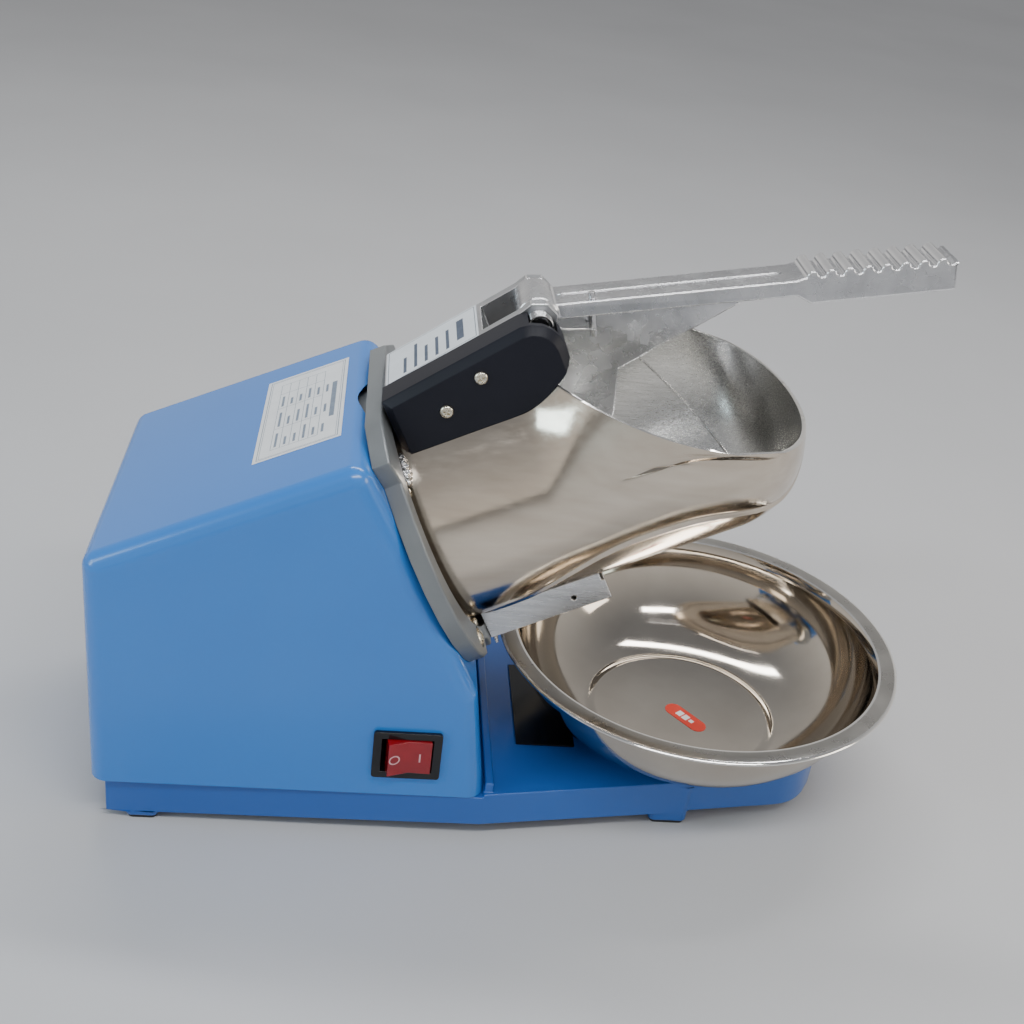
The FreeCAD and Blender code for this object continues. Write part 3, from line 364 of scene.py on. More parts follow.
def border(inset, line, length, width):
    """The four lines of a border, line wide, at inset from the label's edge."""
    end, side = length - inset, width - inset
    return [(inset, end, inset, inset + line), (inset, end, side - line, side),
            (inset, inset + line, inset, side), (end - line, end, inset, side)]


def printed_film(name, node, label, marks, film, ink):
    """A thin film over a label's face, with its print as slightly raised flat marks."""
    sunk, film_top, print_depth, print_top = -0.12, 0.02, 0.005, 0.012
    corner, along, across, length, width = label
    form = bmesh.new()
    up = along.cross(across).normalized()
    if up.z < 0:
        up = -up

    def slab(u0, u1, w0, w1, low, high, number):
        ring = [(u0, w0), (u1, w0), (u1, w1), (u0, w1)]
        lower, upper = ([corner + along * u * MM + across * w * MM + up * h * MM for u, w in ring]
                        for h in (low, high))
        stand_slab(form, lower, upper, number)

    slab(0, length, 0, width, sunk, film_top, 0)
    for mark in marks:
        slab(*mark, film_top - print_depth, film_top + print_top, 1)
    piece = placed(name, closed_mesh(form, name), film, ink)
    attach(piece, "machine")
    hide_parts(node)
    return piece


roof_paper, roof_ink = printed("rating", (0.80, 0.82, 0.84), (0.16, 0.20, 0.26))
roof_label = label_frame("rating_label")
length, width = roof_label[3:]
row_count, row_pitch, head_row, margin, rule = 6, 4.4, 11.5, 8, 0.22
marks = border(1.6, 0.35, length, width) + border(2.6, 0.2, length, width)
random.seed(4)
for row in range(row_count):
    at = length - head_row - row * row_pitch
    marks.append((at, at + rule, margin, width - margin))
    for start, room_left in ((10, 14), (30, 16), (51, 12), (67, 12)):
        if start + room_left < width - margin:
            stop = start + room_left * random.uniform(0.45, 1.0)
            marks.append((at + 1.5, at + 2.7, start, stop))
marks.append((length - 7.0, length - 4.6, width * 0.28, width * 0.72))
table_foot = length - head_row - (row_count - 1) * row_pitch
for column in (margin, 28, 49, 65, width - margin):
    marks.append((table_foot, length - head_row, column, column + rule))
printed_film("rating_film", "rating_label", roof_label, marks, roof_paper, roof_ink)


# ---------------------------------------------------------------- face plate
# A cast plate painted satin grey closes the front of the cover. Its rim is rounded,
# its webs reach down over the chute, and two large screws hold it low on its face.

def satin_paint():
    """Satin grey paint over a casting, with a little metallic flake."""
    material, surface, tree = shader("satin grey paint")
    tint(tree, spots(tree, 30.0, 3.0), surface.inputs["Base Color"],
         (0.19, 0.205, 0.215), (0.23, 0.245, 0.255))
    spread(tree, spots(tree, 60.0), surface.inputs["Roughness"], 0.30, 0.40)
    surface.inputs["Metallic"].default_value = 0.35
    dents(tree, spots(tree, 320.0), surface.inputs["Normal"], 0.05 * MM, 0.6)
    return material


satin_grey = satin_paint()
eased("face_plate", "plate", 0.4 * MM, satin_grey, slot="plate_grey")


# ---------------------------------------------------------------- hopper barrel
# The hopper is a drawn tube of polished stainless steel that swells into a dome and is
# cut off almost level. A pressed crease runs from the plate along both sides of the mouth,
# a low welded seam crosses the brushed inside, and a flange screws it to the plate.

slope = math.radians(26.8)
axis = Vector((math.cos(slope), 0, math.sin(slope)))
rise = Vector((-math.sin(slope), 0, math.cos(slope)))
foot_of_slope = Vector((-14.9, 0, 80.7))


def incline(s, y, v):
    """A point on the sloping hopper axis: s along it, y to the side, v square to it."""
    return (foot_of_slope + axis * s + Vector((0, y, 0)) + rise * v) * MM


def on_ring(s, angle, reach, centre):
    """A point at s, reach away from a centre, turned by angle from straight down."""
    return incline(s, math.sin(angle) * reach, centre - math.cos(angle) * reach)


def smooth_step(value):
    """An even ramp from 0 to 1 with soft ends."""
    value = min(1.0, max(0.0, value))
    return value * value * (3 - 2 * value)


tube_start, tube_end, tube_radius, tube_centre = 4, 62, 57.0, 65.0
dome_start, dome_depth, dome_radius, dome_centre, dome_power = 131.6, 50.0, 72.0, 82.3, 0.82
wall = 1.5


def barrel_profile(s):
    """Radius and centre height of the barrel at s."""
    if s <= tube_end:
        return tube_radius, tube_centre
    if s <= dome_start:
        share = smooth_step((s - tube_end) / (dome_start - tube_end))
        return (tube_radius + (dome_radius - tube_radius) * share,
                tube_centre + (dome_centre - tube_centre) * share)
    share = min(1.0, (s - dome_start) / dome_depth)
    angle = math.asin(min(1.0, share ** (1 / dome_power)))
    return dome_radius * math.cos(angle) ** dome_power, dome_centre


crease_knots = [(4, -24.0, 13.5), (23, -30, 17), (54, -44, 32), (79, -51.5, 41.5),
                (105, -57, 46.5), (127, -57, 47), (150, -46, 39), (165, -30, 30)]


def crease_angle(s):
    """Where the pressed crease runs around the barrel at s, in degrees from straight down."""
    knots = [(at, math.degrees(math.atan2(-y, barrel_profile(at)[1] - v))) for at, y, v in crease_knots]
    if s <= knots[0][0]:
        return knots[0][1]
    for (s0, a0), (s1, a1) in zip(knots, knots[1:]):
        if s <= s1:
            share = (s - s0) / (s1 - s0)
            return a0 + (a1 - a0) * share
    return knots[-1][1]


def steel_sheet(name, dark, light, low, high, stretch, turn=(0, 0, 0), bump=0.0):
    """Bare sheet metal between two tones and two roughnesses, with its grain stretched."""
    material, surface, tree = shader(name)
    surface.inputs["Metallic"].default_value = 1.0
    grain = spots(tree, 22.0, 5.0, stretch, turn)
    tint(tree, grain, surface.inputs["Base Color"], dark, light)
    spread(tree, spots(tree, 70.0, 6.0, stretch, turn), surface.inputs["Roughness"], low, high)
    if bump:
        dents(tree, spots(tree, 150.0, 4.0, stretch, turn), surface.inputs["Normal"], bump, 0.5)
    return material


polished_steel = steel_sheet("polished steel", (0.60, 0.52, 0.43), (0.71, 0.63, 0.53), 0.10, 0.19,
                             (1, 6, 6), (0, slope, 0), 0.02 * MM)
brushed_steel = steel_sheet("brushed steel", (0.74, 0.73, 0.70), (0.92, 0.91, 0.88), 0.18, 0.32,
                            (2, 34, 34), (0, slope, 0), 0.003 * MM)
# Bright steel laid on thin edges, lips and beads is a painted highlight.
steel_edge_highlight = steel_sheet("steel painted edge highlight", (0.85, 0.83, 0.79), (0.95, 0.93, 0.90), 0.08, 0.16, (1, 1, 1))


def tube_faces(form, rows):
    """Join rings of equal count into a closed tube with flat ends, and give its side faces."""
    count = len(rows[0])
    sides = []
    for here, there in zip(rows, rows[1:]):
        for i in range(count):
            after = (i + 1) % count
            sides.append(form.faces.new((here[i], here[after], there[after], there[i])))
    form.faces.new(rows[0])
    form.faces.new(rows[-1][::-1])
    return sides


def barrel_mesh():
    """The open barrel: two skins whose columns follow the crease and end on the mouth plane."""
    (back_s, back_v), (front_s, front_v) = (84.9, 113.6), (178.3, 51.0)
    tilt = (front_v - back_v) / (front_s - back_s)
    smooth = {}

    def crease(s):
        key = round(s, 1)
        if key not in smooth:
            smooth[key] = sum(crease_angle(key + step) for step in range(-12, 13, 2)) / 13
        return smooth[key]

    def along_wall(t):
        """Place, radius and centre at t, where 0 to 1 is the tube and 1 to 2 the dome."""
        if t <= 1:
            s = tube_start + (dome_start - tube_start) * t
            return (s, *barrel_profile(s))
        bend = math.radians(90) * (t - 1)
        return (dome_start + dome_depth * math.sin(bend) ** dome_power,
                dome_radius * max(math.cos(bend), 1e-6) ** dome_power, dome_centre)

    half = [0.4, 0.75, 1.1, 1.5, 2.0, 2.6, 3.4, 4.6, 6]
    columns = [("low", step / 16) for step in range(16)]
    columns += [("near", off) for off in [-off for off in half[::-1]] + [0] + half]
    columns += [("high", step / 60) for step in range(1, 61)]

    def direction(column, s, radius):
        """Degrees from straight down of a column: below the crease, beside it, or above it."""
        kind, value = column
        band = math.degrees(half[-1] / max(radius, 20))
        if kind == "low":
            return (crease(s) - band) * value
        if kind == "near":
            return crease(s) + math.degrees(value / max(radius, 20))
        return crease(s) + band + (180 - crease(s) - band) * value

    def spot(column, side, t, shrink, relief):
        """A column's place at t, shrunk inwards, with the crease's ridge and groove as relief."""
        s, radius, centre = along_wall(t)
        if t > 1:
            s = dome_start + (s - dome_start) * (dome_depth - shrink) / dome_depth
        angle = math.radians(direction(column, s, radius))
        reach = max(radius - shrink, 0.3)
        if relief and column[0] == "near":
            off = column[1]
            ridge = math.exp(-(off / 0.95) ** 2)
            groove = 0.45 * math.exp(-(off - 2.4) ** 2)
            reach += relief * smooth_step((s - 6) / 8) * (ridge - groove)
        return s, side * math.sin(angle) * reach, centre - math.cos(angle) * reach

    def skin(shrink, relief, rows=150):
        """All columns of one skin, each cut where it meets the mouth plane."""
        lines = []
        order = [(column, 1) for column in columns] + [(column, -1) for column in columns[-2:0:-1]]
        for column, side in order:
            low, high = 0.0, 2.0
            for _ in range(40):
                middle = (low + high) / 2
                s, y, v = spot(column, side, middle, shrink, 0)
                if v > dome_centre + tilt * (s - dome_start):
                    high = middle
                else:
                    low = middle
            if column == ("high", 1):
                low = min(low, 1.0)
            lines.append([form.verts.new(incline(*spot(column, side, low * row / rows, shrink, relief)))
                          for row in range(rows + 1)])
        return lines

    form = bmesh.new()
    outer, inner = skin(0.0, 0.9), skin(wall, 0.0)
    count = len(outer)
    for lines, flip, number in ((outer, False, 0), (inner, True, 1)):
        for place in range(count):
            here, there = lines[place], lines[(place + 1) % count]
            for row in range(len(here) - 1):
                ring = (here[row], here[row + 1], there[row + 1], there[row])
                form.faces.new(ring if flip else ring[::-1]).material_index = number
    # The lip around the mouth takes the bright steel: a painted highlight on the cut edge.
    out = (rise - axis * tilt).normalized()
    lips = [(a[-1], form.verts.new((a[-1].co + b[-1].co) / 2 + out * 0.35 * MM), b[-1])
            for a, b in zip(outer, inner)]
    for place in range(count):
        after = (place + 1) % count
        here, there = lips[place], lips[after]
        for i in (0, 1):
            form.faces.new((here[i], here[i + 1], there[i + 1], there[i])).material_index = 2
        form.faces.new((outer[place][0], inner[place][0], inner[after][0], outer[after][0]))
    notch, steps = 24.6, 150
    flange_outline = ((4.05, 56.6), (4.05, 62.0), (5.2, 62.0), (5.5, 61.7), (5.5, 56.6))
    flange = []
    for step in range(steps + 1):
        angle = math.radians(notch + (360 - 2 * notch) * step / steps)
        flange.append([form.verts.new(on_ring(s, angle, reach, tube_centre)) for s, reach in flange_outline])
    tube_faces(form, flange)
    for face in form.faces:
        face.smooth = True
    mesh = closed_mesh(form, "barrel")
    mesh.set_sharp_from_angle(angle=math.radians(50))
    return mesh


barrel = placed("barrel", barrel_mesh(), polished_steel, brushed_steel, steel_edge_highlight)
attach(barrel, "machine")
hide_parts("hopper_barrel")


def wire(name, path, thickness, material, sides=10):
    """A closed round wire swept along a path."""
    form = bmesh.new()
    rows, side = [], None
    for place, point in enumerate(path):
        ahead = (path[min(place + 1, len(path) - 1)] - path[max(place - 1, 0)]).normalized()
        if side is None:
            side = ahead.orthogonal().normalized()
        side = (side - ahead * side.dot(ahead)).normalized()
        other = ahead.cross(side)
        rows.append([form.verts.new(point + (side * math.cos(2 * math.pi * i / sides)
                                             + other * math.sin(2 * math.pi * i / sides)) * thickness)
                     for i in range(sides)])
    for face in tube_faces(form, rows):
        face.smooth = True
    return placed(name, closed_mesh(form, name), material)


def seam_path():
    """The welded seam on the inside, where the dome's sheet meets the tube on a slant."""
    slant, seam_offset = 0.52, 152.5
    path = []
    for step in range(-60, 61):
        angle = math.radians(1.85 * step)
        low, high = 60.0, 178.0
        for _ in range(40):
            s = (low + high) / 2
            radius, centre = barrel_profile(s)
            if s + slant * (centre - math.cos(angle) * (radius - wall)) > seam_offset:
                high = s
            else:
                low = s
        path.append(on_ring(s, angle, radius - wall - 0.3, centre))
    return path


# The seam takes the bright steel as a painted highlight along its bead.
weld = wire("weld_seam", seam_path(), 0.6 * MM, steel_edge_highlight)
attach(weld, "machine")


# ---------------------------------------------------------------- sealing foil and earth lead
# A strip of crumpled aluminium foil seals the gap between the plate and the barrel near
# the lead, and the safety switch's yellow and green lead dips into the plate beside it.

def crumpled_foil():
    """Aluminium foil with small bright creases."""
    material, surface, tree = shader("crumpled foil")
    surface.inputs["Metallic"].default_value = 1.0
    tint(tree, spots(tree, 300.0), surface.inputs["Base Color"], (0.72, 0.73, 0.74), (0.90, 0.91, 0.92))
    spread(tree, spots(tree, 350.0), surface.inputs["Roughness"], 0.12, 0.30)
    dents(tree, spots(tree, 260.0, 5.0), surface.inputs["Normal"], 0.7 * MM)
    return material


def foil_strip():
    """A pressed, uneven bead of foil in the corner between the plate and the barrel."""
    form = bmesh.new()
    lines, lump_place = [], Vector((3.1, 7.7, 1.3))
    steps, sides = 60, 10
    for step in range(steps + 1):
        share = step / steps
        angle = math.radians(218 + 15 * share)
        swell = math.sin(math.pi * share) ** 0.4
        row = []
        for i in range(sides):
            turn = 2 * math.pi * i / sides
            lump = 0.5 + 0.9 * noise.noise(Vector((share * 14, i * 1.7, 0)) + lump_place)
            reach = 58.9 + math.cos(turn) * (1.5 + lump) * swell
            seat = 8.0 + math.sin(turn) * (1.6 + lump) * swell
            row.append(form.verts.new(on_ring(seat, angle, reach, tube_centre)))
        lines.append(row)
    tube_faces(form, lines)
    return closed_mesh(form, "sealing_foil")


foil = placed("sealing_foil", foil_strip(), crumpled_foil())
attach(foil, "machine")


def striped_lead():
    """Green insulation with a yellow stripe along it."""
    material, surface, tree = shader("striped lead")
    place = tree.nodes.new("ShaderNodeTexCoord")
    wave = tree.nodes.new("ShaderNodeTexWave")
    wave.inputs["Scale"].default_value = 90.0
    wave.bands_direction = "DIAGONAL"
    tree.links.new(place.outputs["Object"], wave.inputs["Vector"])
    tint(tree, wave.outputs["Fac"], surface.inputs["Base Color"],
         (0.05, 0.30, 0.06), (0.80, 0.72, 0.03))
    surface.inputs["Roughness"].default_value = 0.4
    return material


dress(striped_lead(), "switch_lead")


# ---------------------------------------------------------------- hinge bracket and its label
# The bracket is cast aluminium, screwed to the barrel from inside. It is satin on its flanks, painted bright
# along its eased edges as a highlight, and carries a printed label on its sloping top.

def cast_metal(name, dark, light, low, high, bump):
    """Cast aluminium between two tones and two roughnesses, with a fine grain."""
    material, surface, tree = shader(name)
    surface.inputs["Metallic"].default_value = 1.0
    tint(tree, spots(tree, 55.0, 6.0), surface.inputs["Base Color"], dark, light)
    spread(tree, spots(tree, 140.0, 6.0), surface.inputs["Roughness"], low, high)
    dents(tree, spots(tree, 900.0, 3.0), surface.inputs["Normal"], bump, 0.6)
    return material


casting = cast_metal("cast aluminium", (0.42, 0.43, 0.45), (0.60, 0.61, 0.63),
                     0.26, 0.42, 0.05 * MM)
# This bright aluminium is a painted highlight, laid on eased edges, on the grip's ridge tops and on the
# lever's top ridge.
highlight_aluminium = cast_metal("aluminium painted highlight", (0.86, 0.86, 0.88), (0.96, 0.96, 0.97),
                          0.12, 0.20, 0.01 * MM)
eased("hinge_bracket", "bracket", 0.5 * MM, casting, highlight_aluminium, slot="cast_aluminium")

label_paper, label_ink = printed("bracket", (0.74, 0.78, 0.82), (0.06, 0.08, 0.12))
bracket_label = label_frame("bracket_label")
length, width = bracket_label[3:]
marks = border(1.0, 0.3, length, width) + [(length - 10.5, length - 7.0, 7, width - 7)]
random.seed(9)
for row in range(5):
    at = length - 16.0 - row * 5.4
    marks.append((at, at + 1.6, 4.0, 4.0 + (width - 9) * random.uniform(0.6, 1.0)))
printed_film("bracket_film", "bracket_label", bracket_label, marks, label_paper, label_ink)


# ---------------------------------------------------------------- safety switch housing
# A moulded black housing beside the bracket holds the microswitch that the lever
# releases. Its outer rim is chamfered, and two pan screws hold it to the bracket.

def moulded_black():
    """Black moulding with a fine satin grain."""
    material, surface, tree = shader("moulded black")
    tint(tree, spots(tree, 40.0), surface.inputs["Base Color"],
         (0.003, 0.004, 0.010), (0.006, 0.007, 0.014))
    surface.inputs["Roughness"].default_value = 0.42
    surface.inputs["Specular IOR Level"].default_value = 0.3
    dents(tree, spots(tree, 1200.0, 2.0), surface.inputs["Normal"], 0.03 * MM, 0.7)
    return material


housing_black = moulded_black()
eased("switch_housing", "switch_cover", 0.45 * MM, housing_black, slot="housing_black")
dress(housing_black, "microswitch", "cooling_fan", "gland_nut")
dress(rubber, "cord_gland", "shaft_seal")


# ---------------------------------------------------------------- press lever
# The lever is one aluminium casting on the hinge pin: a flat arm with a web below it and a ridged grip. Its
# edges and the ridges of its grip are painted bright as highlights.

lever_turn = math.radians(11.1)
pin_x, pin_z = -3.483, 241.074


def on_lever(u, y, w):
    """A point on the lever: u along the arm from the pin, w square to it."""
    return Vector((pin_x + u * math.cos(lever_turn) - w * math.sin(lever_turn), y,
                   pin_z + u * math.sin(lever_turn) + w * math.cos(lever_turn))) * MM


def casting_with_edge_highlight():
    """Cast aluminium painted bright on edges and on the ridges of the grip: a painted highlight driven by
    pointiness.
    """
    material, surface, tree = shader("casting with painted edge highlight")
    surface.inputs["Metallic"].default_value = 1.0
    pointiness_highlight = tree.nodes.new("ShaderNodeNewGeometry")
    grain = spots(tree, 70.0, 6.0)
    mix = tree.nodes.new("ShaderNodeMath")
    mix.operation = "MULTIPLY_ADD"
    mix.inputs[1].default_value = 0.12
    tree.links.new(grain, mix.inputs[0])
    tree.links.new(pointiness_highlight.outputs["Pointiness"], mix.inputs[2])
    # Pointiness drives a painted highlight: convex edges go from the dark casting tone to a bright one.
    ramp = tree.nodes.new("ShaderNodeValToRGB")
    ramp.color_ramp.elements[0].position = 0.53
    ramp.color_ramp.elements[1].position = 0.65
    ramp.color_ramp.elements[0].color = (0.40, 0.41, 0.43, 1)
    ramp.color_ramp.elements[1].color = (0.86, 0.86, 0.88, 1)
    tree.links.new(mix.outputs[0], ramp.inputs["Fac"])
    tree.links.new(ramp.outputs["Color"], surface.inputs["Base Color"])
    spread(tree, spots(tree, 160.0, 5.0), surface.inputs["Roughness"], 0.20, 0.34)
    dents(tree, spots(tree, 800.0, 3.0), surface.inputs["Normal"], 0.05 * MM, 0.6)
    return material


lever_highlight_casting = casting_with_edge_highlight()
lever = eased("press_lever", "lever_casting", 0.8 * MM, lever_highlight_casting, highlight_aluminium,
              body="lever", slot="cast_aluminium", steps=3)
# The tops of the grip's ridges take the bright aluminium: a painted highlight.
grip_start, grip_top = 114 * MM, 6.9 * MM
for polygon in lever.data.polygons:
    reach = polygon.center - on_lever(0, 0, 0)
    u = reach.x * math.cos(lever_turn) + reach.z * math.sin(lever_turn)
    w = reach.z * math.cos(lever_turn) - reach.x * math.sin(lever_turn)
    if u > grip_start and w > grip_top:
        polygon.material_index = 1
eased("press_plate", "press_foot", 0.6 * MM, casting, body="lever", slot="cast_aluminium")


# ---------------------------------------------------------------- hinge pin, return spring, peg
# A steel pin crosses the bracket. A torsion spring is wound on it and its leg reaches
# a split peg in the lever's web, so the lever lifts by itself.

def drawn_wire():
    """Bright drawn steel wire."""
    material, surface, tree = shader("drawn wire")
    surface.inputs["Metallic"].default_value = 1.0
    tint(tree, spots(tree, 200.0), surface.inputs["Base Color"], (0.55, 0.55, 0.56), (0.75, 0.75, 0.76))
    spread(tree, spots(tree, 400.0), surface.inputs["Roughness"], 0.14, 0.26)
    return material


wire_steel = drawn_wire()
spring_wire = 0.58 * MM
coil_path = []
turns, coil_radius, coil_start, coil_pitch = 4.25, 5.4, -18.6, 1.3
for step in range(int(turns * 36) + 1):
    angle = math.radians(step * 10) + math.radians(60)
    coil_path.append(on_lever(math.cos(angle) * coil_radius, coil_start - step * 10 / 360 * coil_pitch,
                              math.sin(angle) * coil_radius))
spring = wire("torsion_spring", coil_path, spring_wire, wire_steel)
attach(spring, "machine")
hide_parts("return_spring")
leg_path = [on_lever(6.5 + share * 18.5, -17.4 + 8.4 * smooth_step(share * 1.05), -3.2 - 6.6 * share)
            for share in [step / 24 for step in range(25)]]
leg = wire("spring_leg", leg_path, spring_wire, wire_steel)
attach(leg, "lever")
eased("spring_peg", "peg", 0.2 * MM, wire_steel, body="lever", slot="spring_steel")
dress(wire_steel, "hinge_pin", "hinge_pin_clip", "motor_bearings", "rotor_shaft")

# A thin raised line along the top of the arm, in bright aluminium as a painted highlight.
ridge_path = [on_lever(9 + step * 4.1, 0.6, 4.45) for step in range(25)]
ridge = wire("lever_ridge", ridge_path, 0.55 * MM, highlight_aluminium)
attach(ridge, "lever")


# ---------------------------------------------------------------- snow chute
# A folded aluminium sheet under the barrel guides the snow into the bowl. Its front edges are folded back,
# its eased edges are painted bright as a highlight, and a small hole marks the side.

chute_sheet = steel_sheet("chute aluminium", (0.56, 0.57, 0.59), (0.74, 0.75, 0.77), 0.22, 0.36,
                          (1, 14, 14), (0, slope, 0), 0.02 * MM)
eased("snow_chute", "chute", 0.35 * MM, chute_sheet, steel_edge_highlight, slot="chute_aluminium")


# ---------------------------------------------------------------- bowl and size sticker
# The bowl is drawn from thin stainless steel: mirror bright inside, a satin rim, and
# small steps pressed around its foot. A red printed sticker lies on the bottom.

mirror_steel = steel_sheet("mirror steel", (0.50, 0.45, 0.39), (0.60, 0.55, 0.48),
                           0.05, 0.11, (1, 1, 1))
satin_steel = steel_sheet("satin steel", (0.34, 0.33, 0.31), (0.46, 0.44, 0.41),
                          0.24, 0.36, (1, 1, 1))
bowl_axis = (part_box("bowl")[0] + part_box("bowl")[1]) / 2


def round_bowl(point, angle):
    """A point of the bowl's outline, turned by angle about the bowl's own axis."""
    return Vector((bowl_axis.x + point.x * math.cos(angle) * MM,
                   bowl_axis.y + point.x * math.sin(angle) * MM, point.y * MM))


def bowl_mesh():
    """The bowl turned about its own axis: pressed steps at the foot and a rolled rim."""
    sheet, around = 0.8, 256
    line = [(0, 26.5), (43.0, 26.5), (44.2, 26.9), (45.6, 27.0), (47.4, 26.7), (49.0, 26.5)]
    a, b, c = Vector((49.0, 26.5)), Vector((76.0, 41.5)), Vector((90.0, 74.0))
    a2, b2, c2 = (point.length_squared for point in (a, b, c))
    bottom = 2 * (a.x * (b.y - c.y) + b.x * (c.y - a.y) + c.x * (a.y - b.y))
    hub_x = (a2 * (b.y - c.y) + b2 * (c.y - a.y) + c2 * (a.y - b.y)) / bottom
    hub_z = (a2 * (c.x - b.x) + b2 * (a.x - c.x) + c2 * (b.x - a.x)) / bottom
    hub = Vector((hub_x, hub_z))
    reach = (a - hub).length
    first = math.atan2(a.y - hub.y, a.x - hub.x)
    last = math.atan2(c.y - hub.y, c.x - hub.x)
    for step in range(1, 41):
        angle = first + (last - first) * step / 40
        line.append((hub.x + reach * math.cos(angle), hub.y + reach * math.sin(angle)))
    line += [(90.5, 74.9), (91.4, 75.2)]
    outside = [Vector(point) for point in line]
    inside = []
    for place, point in enumerate(outside):
        ahead = (outside[min(place + 1, len(outside) - 1)] - outside[max(place - 1, 0)]).normalized()
        inside.append(point + Vector((-ahead.y, ahead.x)) * sheet)
    rim = [(98.6, 75.0), (98.9, 74.4), (99.4, 74.2), (99.9, 74.6), (99.98, 75.2), (99.5, 75.75),
           (98.6, 76.0), (92.0, 76.0), (90.9, 75.7)]
    profile = outside + [Vector(point) for point in rim]
    profile += [point for point in inside[:-3][::-1] if point.x < 90.0]
    form = bmesh.new()
    rings = []
    for point in profile[1:-1]:
        rings.append([form.verts.new(round_bowl(point, 2 * math.pi * step / around))
                      for step in range(around)])
    ends = [form.verts.new(round_bowl(profile[0], 0)), form.verts.new(round_bowl(profile[-1], 0))]
    for low_ring, high_ring, low_point, high_point in zip(rings, rings[1:], profile[1:], profile[2:]):
        middle = (low_point + high_point) / 2
        satin = middle.x > 90.7 or (middle.x > 90.2 and middle.y > 75.2)
        # The rolled rim's outer bead and inner lip take the bright steel: a painted highlight.
        edge = middle.x > 98.7 or (90.5 < middle.x < 91.6 and middle.y > 75.5)
        for step in range(around):
            after = (step + 1) % around
            face = form.faces.new((low_ring[step], low_ring[after], high_ring[after], high_ring[step]))
            face.material_index = 2 if edge else (1 if satin else 0)
    for end, ring in ((ends[0], rings[0]), (ends[1], rings[-1])):
        for step in range(around):
            form.faces.new((end, ring[step], ring[(step + 1) % around]))
    for face in form.faces:
        face.smooth = True
    mesh = closed_mesh(form, "bowl_shell")
    mesh.set_sharp_from_angle(angle=math.radians(40))
    return mesh


bowl = placed("bowl_shell", bowl_mesh(), mirror_steel, satin_steel, steel_edge_highlight)
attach(bowl, "bowl")
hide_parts("bowl")


def sticker_film():
    """Glossy red printed film."""
    material, surface, tree = shader("red sticker")
    tint(tree, spots(tree, 150.0), surface.inputs["Base Color"], (0.62, 0.035, 0.018), (0.72, 0.05, 0.025))
    surface.inputs["Roughness"].default_value = 0.32
    return material


dress(sticker_film(), "bowl_sticker")


def sticker_marks():
    """Three short white marks across the sticker, a little proud of the film."""
    form = bmesh.new()
    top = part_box("bowl_sticker")[1].z
    turn = math.radians(-52)
    middle_x, middle_y = 100.4 * MM, -6 * MM
    for u0, u1, w0, w1 in ((-5.4, -2.2, -2.0, 2.0), (-1.4, 1.8, -2.0, 2.0), (2.8, 5.2, -1.2, 1.2)):
        ring = [(u0, w0), (u1, w0), (u1, w1), (u0, w1)]
        lower, upper = ([Vector((middle_x + (u * math.cos(turn) - w * math.sin(turn)) * MM,
                                 middle_y + (u * math.sin(turn) + w * math.cos(turn)) * MM, z))
                         for u, w in ring] for z in (top - 0.02 * MM, top + 0.03 * MM))
        stand_slab(form, lower, upper)
    return closed_mesh(form, "sticker_marks")


white_ink = printed("sticker", (0.85, 0.85, 0.83), (0.7, 0.7, 0.68))[0]
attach(placed("sticker_marks", sticker_marks(), white_ink), "bowl")


# ---------------------------------------------------------------- power rocker
# A standard snap-in rocker sits low on the side of the cover: a black case and a
# translucent red rocker with a ring for off and a bar for on, pressed in at the bar.

def clear_red():
    """Translucent red plastic with a gloss skin."""
    material, surface, tree = shader("clear red")
    tint(tree, spots(tree, 80.0), surface.inputs["Base Color"], (0.30, 0.006, 0.014), (0.42, 0.010, 0.018))
    surface.inputs["Roughness"].default_value = 0.12
    surface.inputs["Transmission Weight"].default_value = 0.25
    surface.inputs["Subsurface Weight"].default_value = 0.15
    surface.inputs["Coat Weight"].default_value = 0.4
    return material


eased("rocker_case", "rocker_case_moulding", 0.35 * MM, black_gloss, slot="black_plastic")
eased("rocker_button", "rocker_key", 0.35 * MM, clear_red(), body="rocker", slot="rocker_red")


def rocker_marks():
    """A ring and a bar laid on the sloping faces of the rocker."""
    button = shapes["rocker_button"].data
    tree = BVHTree.FromPolygons([vertex.co for vertex in button.vertices],
                                [polygon.vertices for polygon in button.polygons])
    form = bmesh.new()

    def laid(x, z, out):
        hit = tree.ray_cast(Vector((x, -200, z)) * MM, Vector((0, 1, 0)))[0]
        return form.verts.new(hit + Vector((0, -out * MM, 0)))

    def strip(first, second, closed):
        loops = [[laid(x, z, out) for x, z in line] for line, out in
                 ((first, 0.05), (second, 0.05), (second, -0.1), (first, -0.1))]
        count = len(first) if closed else len(first) - 1
        for place in range(count):
            after = (place + 1) % len(first)
            for here, there in zip(loops, loops[1:] + loops[:1]):
                form.faces.new((here[place], here[after], there[after], there[place]))
        if not closed:
            form.faces.new([loop[0] for loop in loops])
            form.faces.new([loop[-1] for loop in loops][::-1])

    circle = [2 * math.pi * step / 40 for step in range(40)]
    outer, inner = ([(-50.0 + radius * math.cos(a), 49.2 + radius * math.sin(a)) for a in circle]
                    for radius in (2.5, 1.9))
    strip(outer, inner, True)
    strip([(-38.9, 46.9), (-38.9, 51.5)], [(-38.2, 46.9), (-38.2, 51.5)], False)
    return closed_mesh(form, "rocker_marks")


pale_ink = printed("rocker", (0.72, 0.42, 0.45), (0.7, 0.7, 0.68))[0]
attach(placed("rocker_marks", rocker_marks(), pale_ink), "rocker")


# ---------------------------------------------------------------- drive and electrical parts
# The induction motor, its capacitor, the terminal block and the blade disc are inside;
# each keeps its plain shape and takes the finish of its real material.

def plain_finish(name, dark, light, low, high, metallic=0.0, scale=80.0):
    """A plain finish between two tones and two roughnesses."""
    material, surface, tree = shader(name)
    surface.inputs["Metallic"].default_value = metallic
    tint(tree, spots(tree, scale), surface.inputs["Base Color"], dark, light)
    spread(tree, spots(tree, scale * 2), surface.inputs["Roughness"], low, high)
    return material


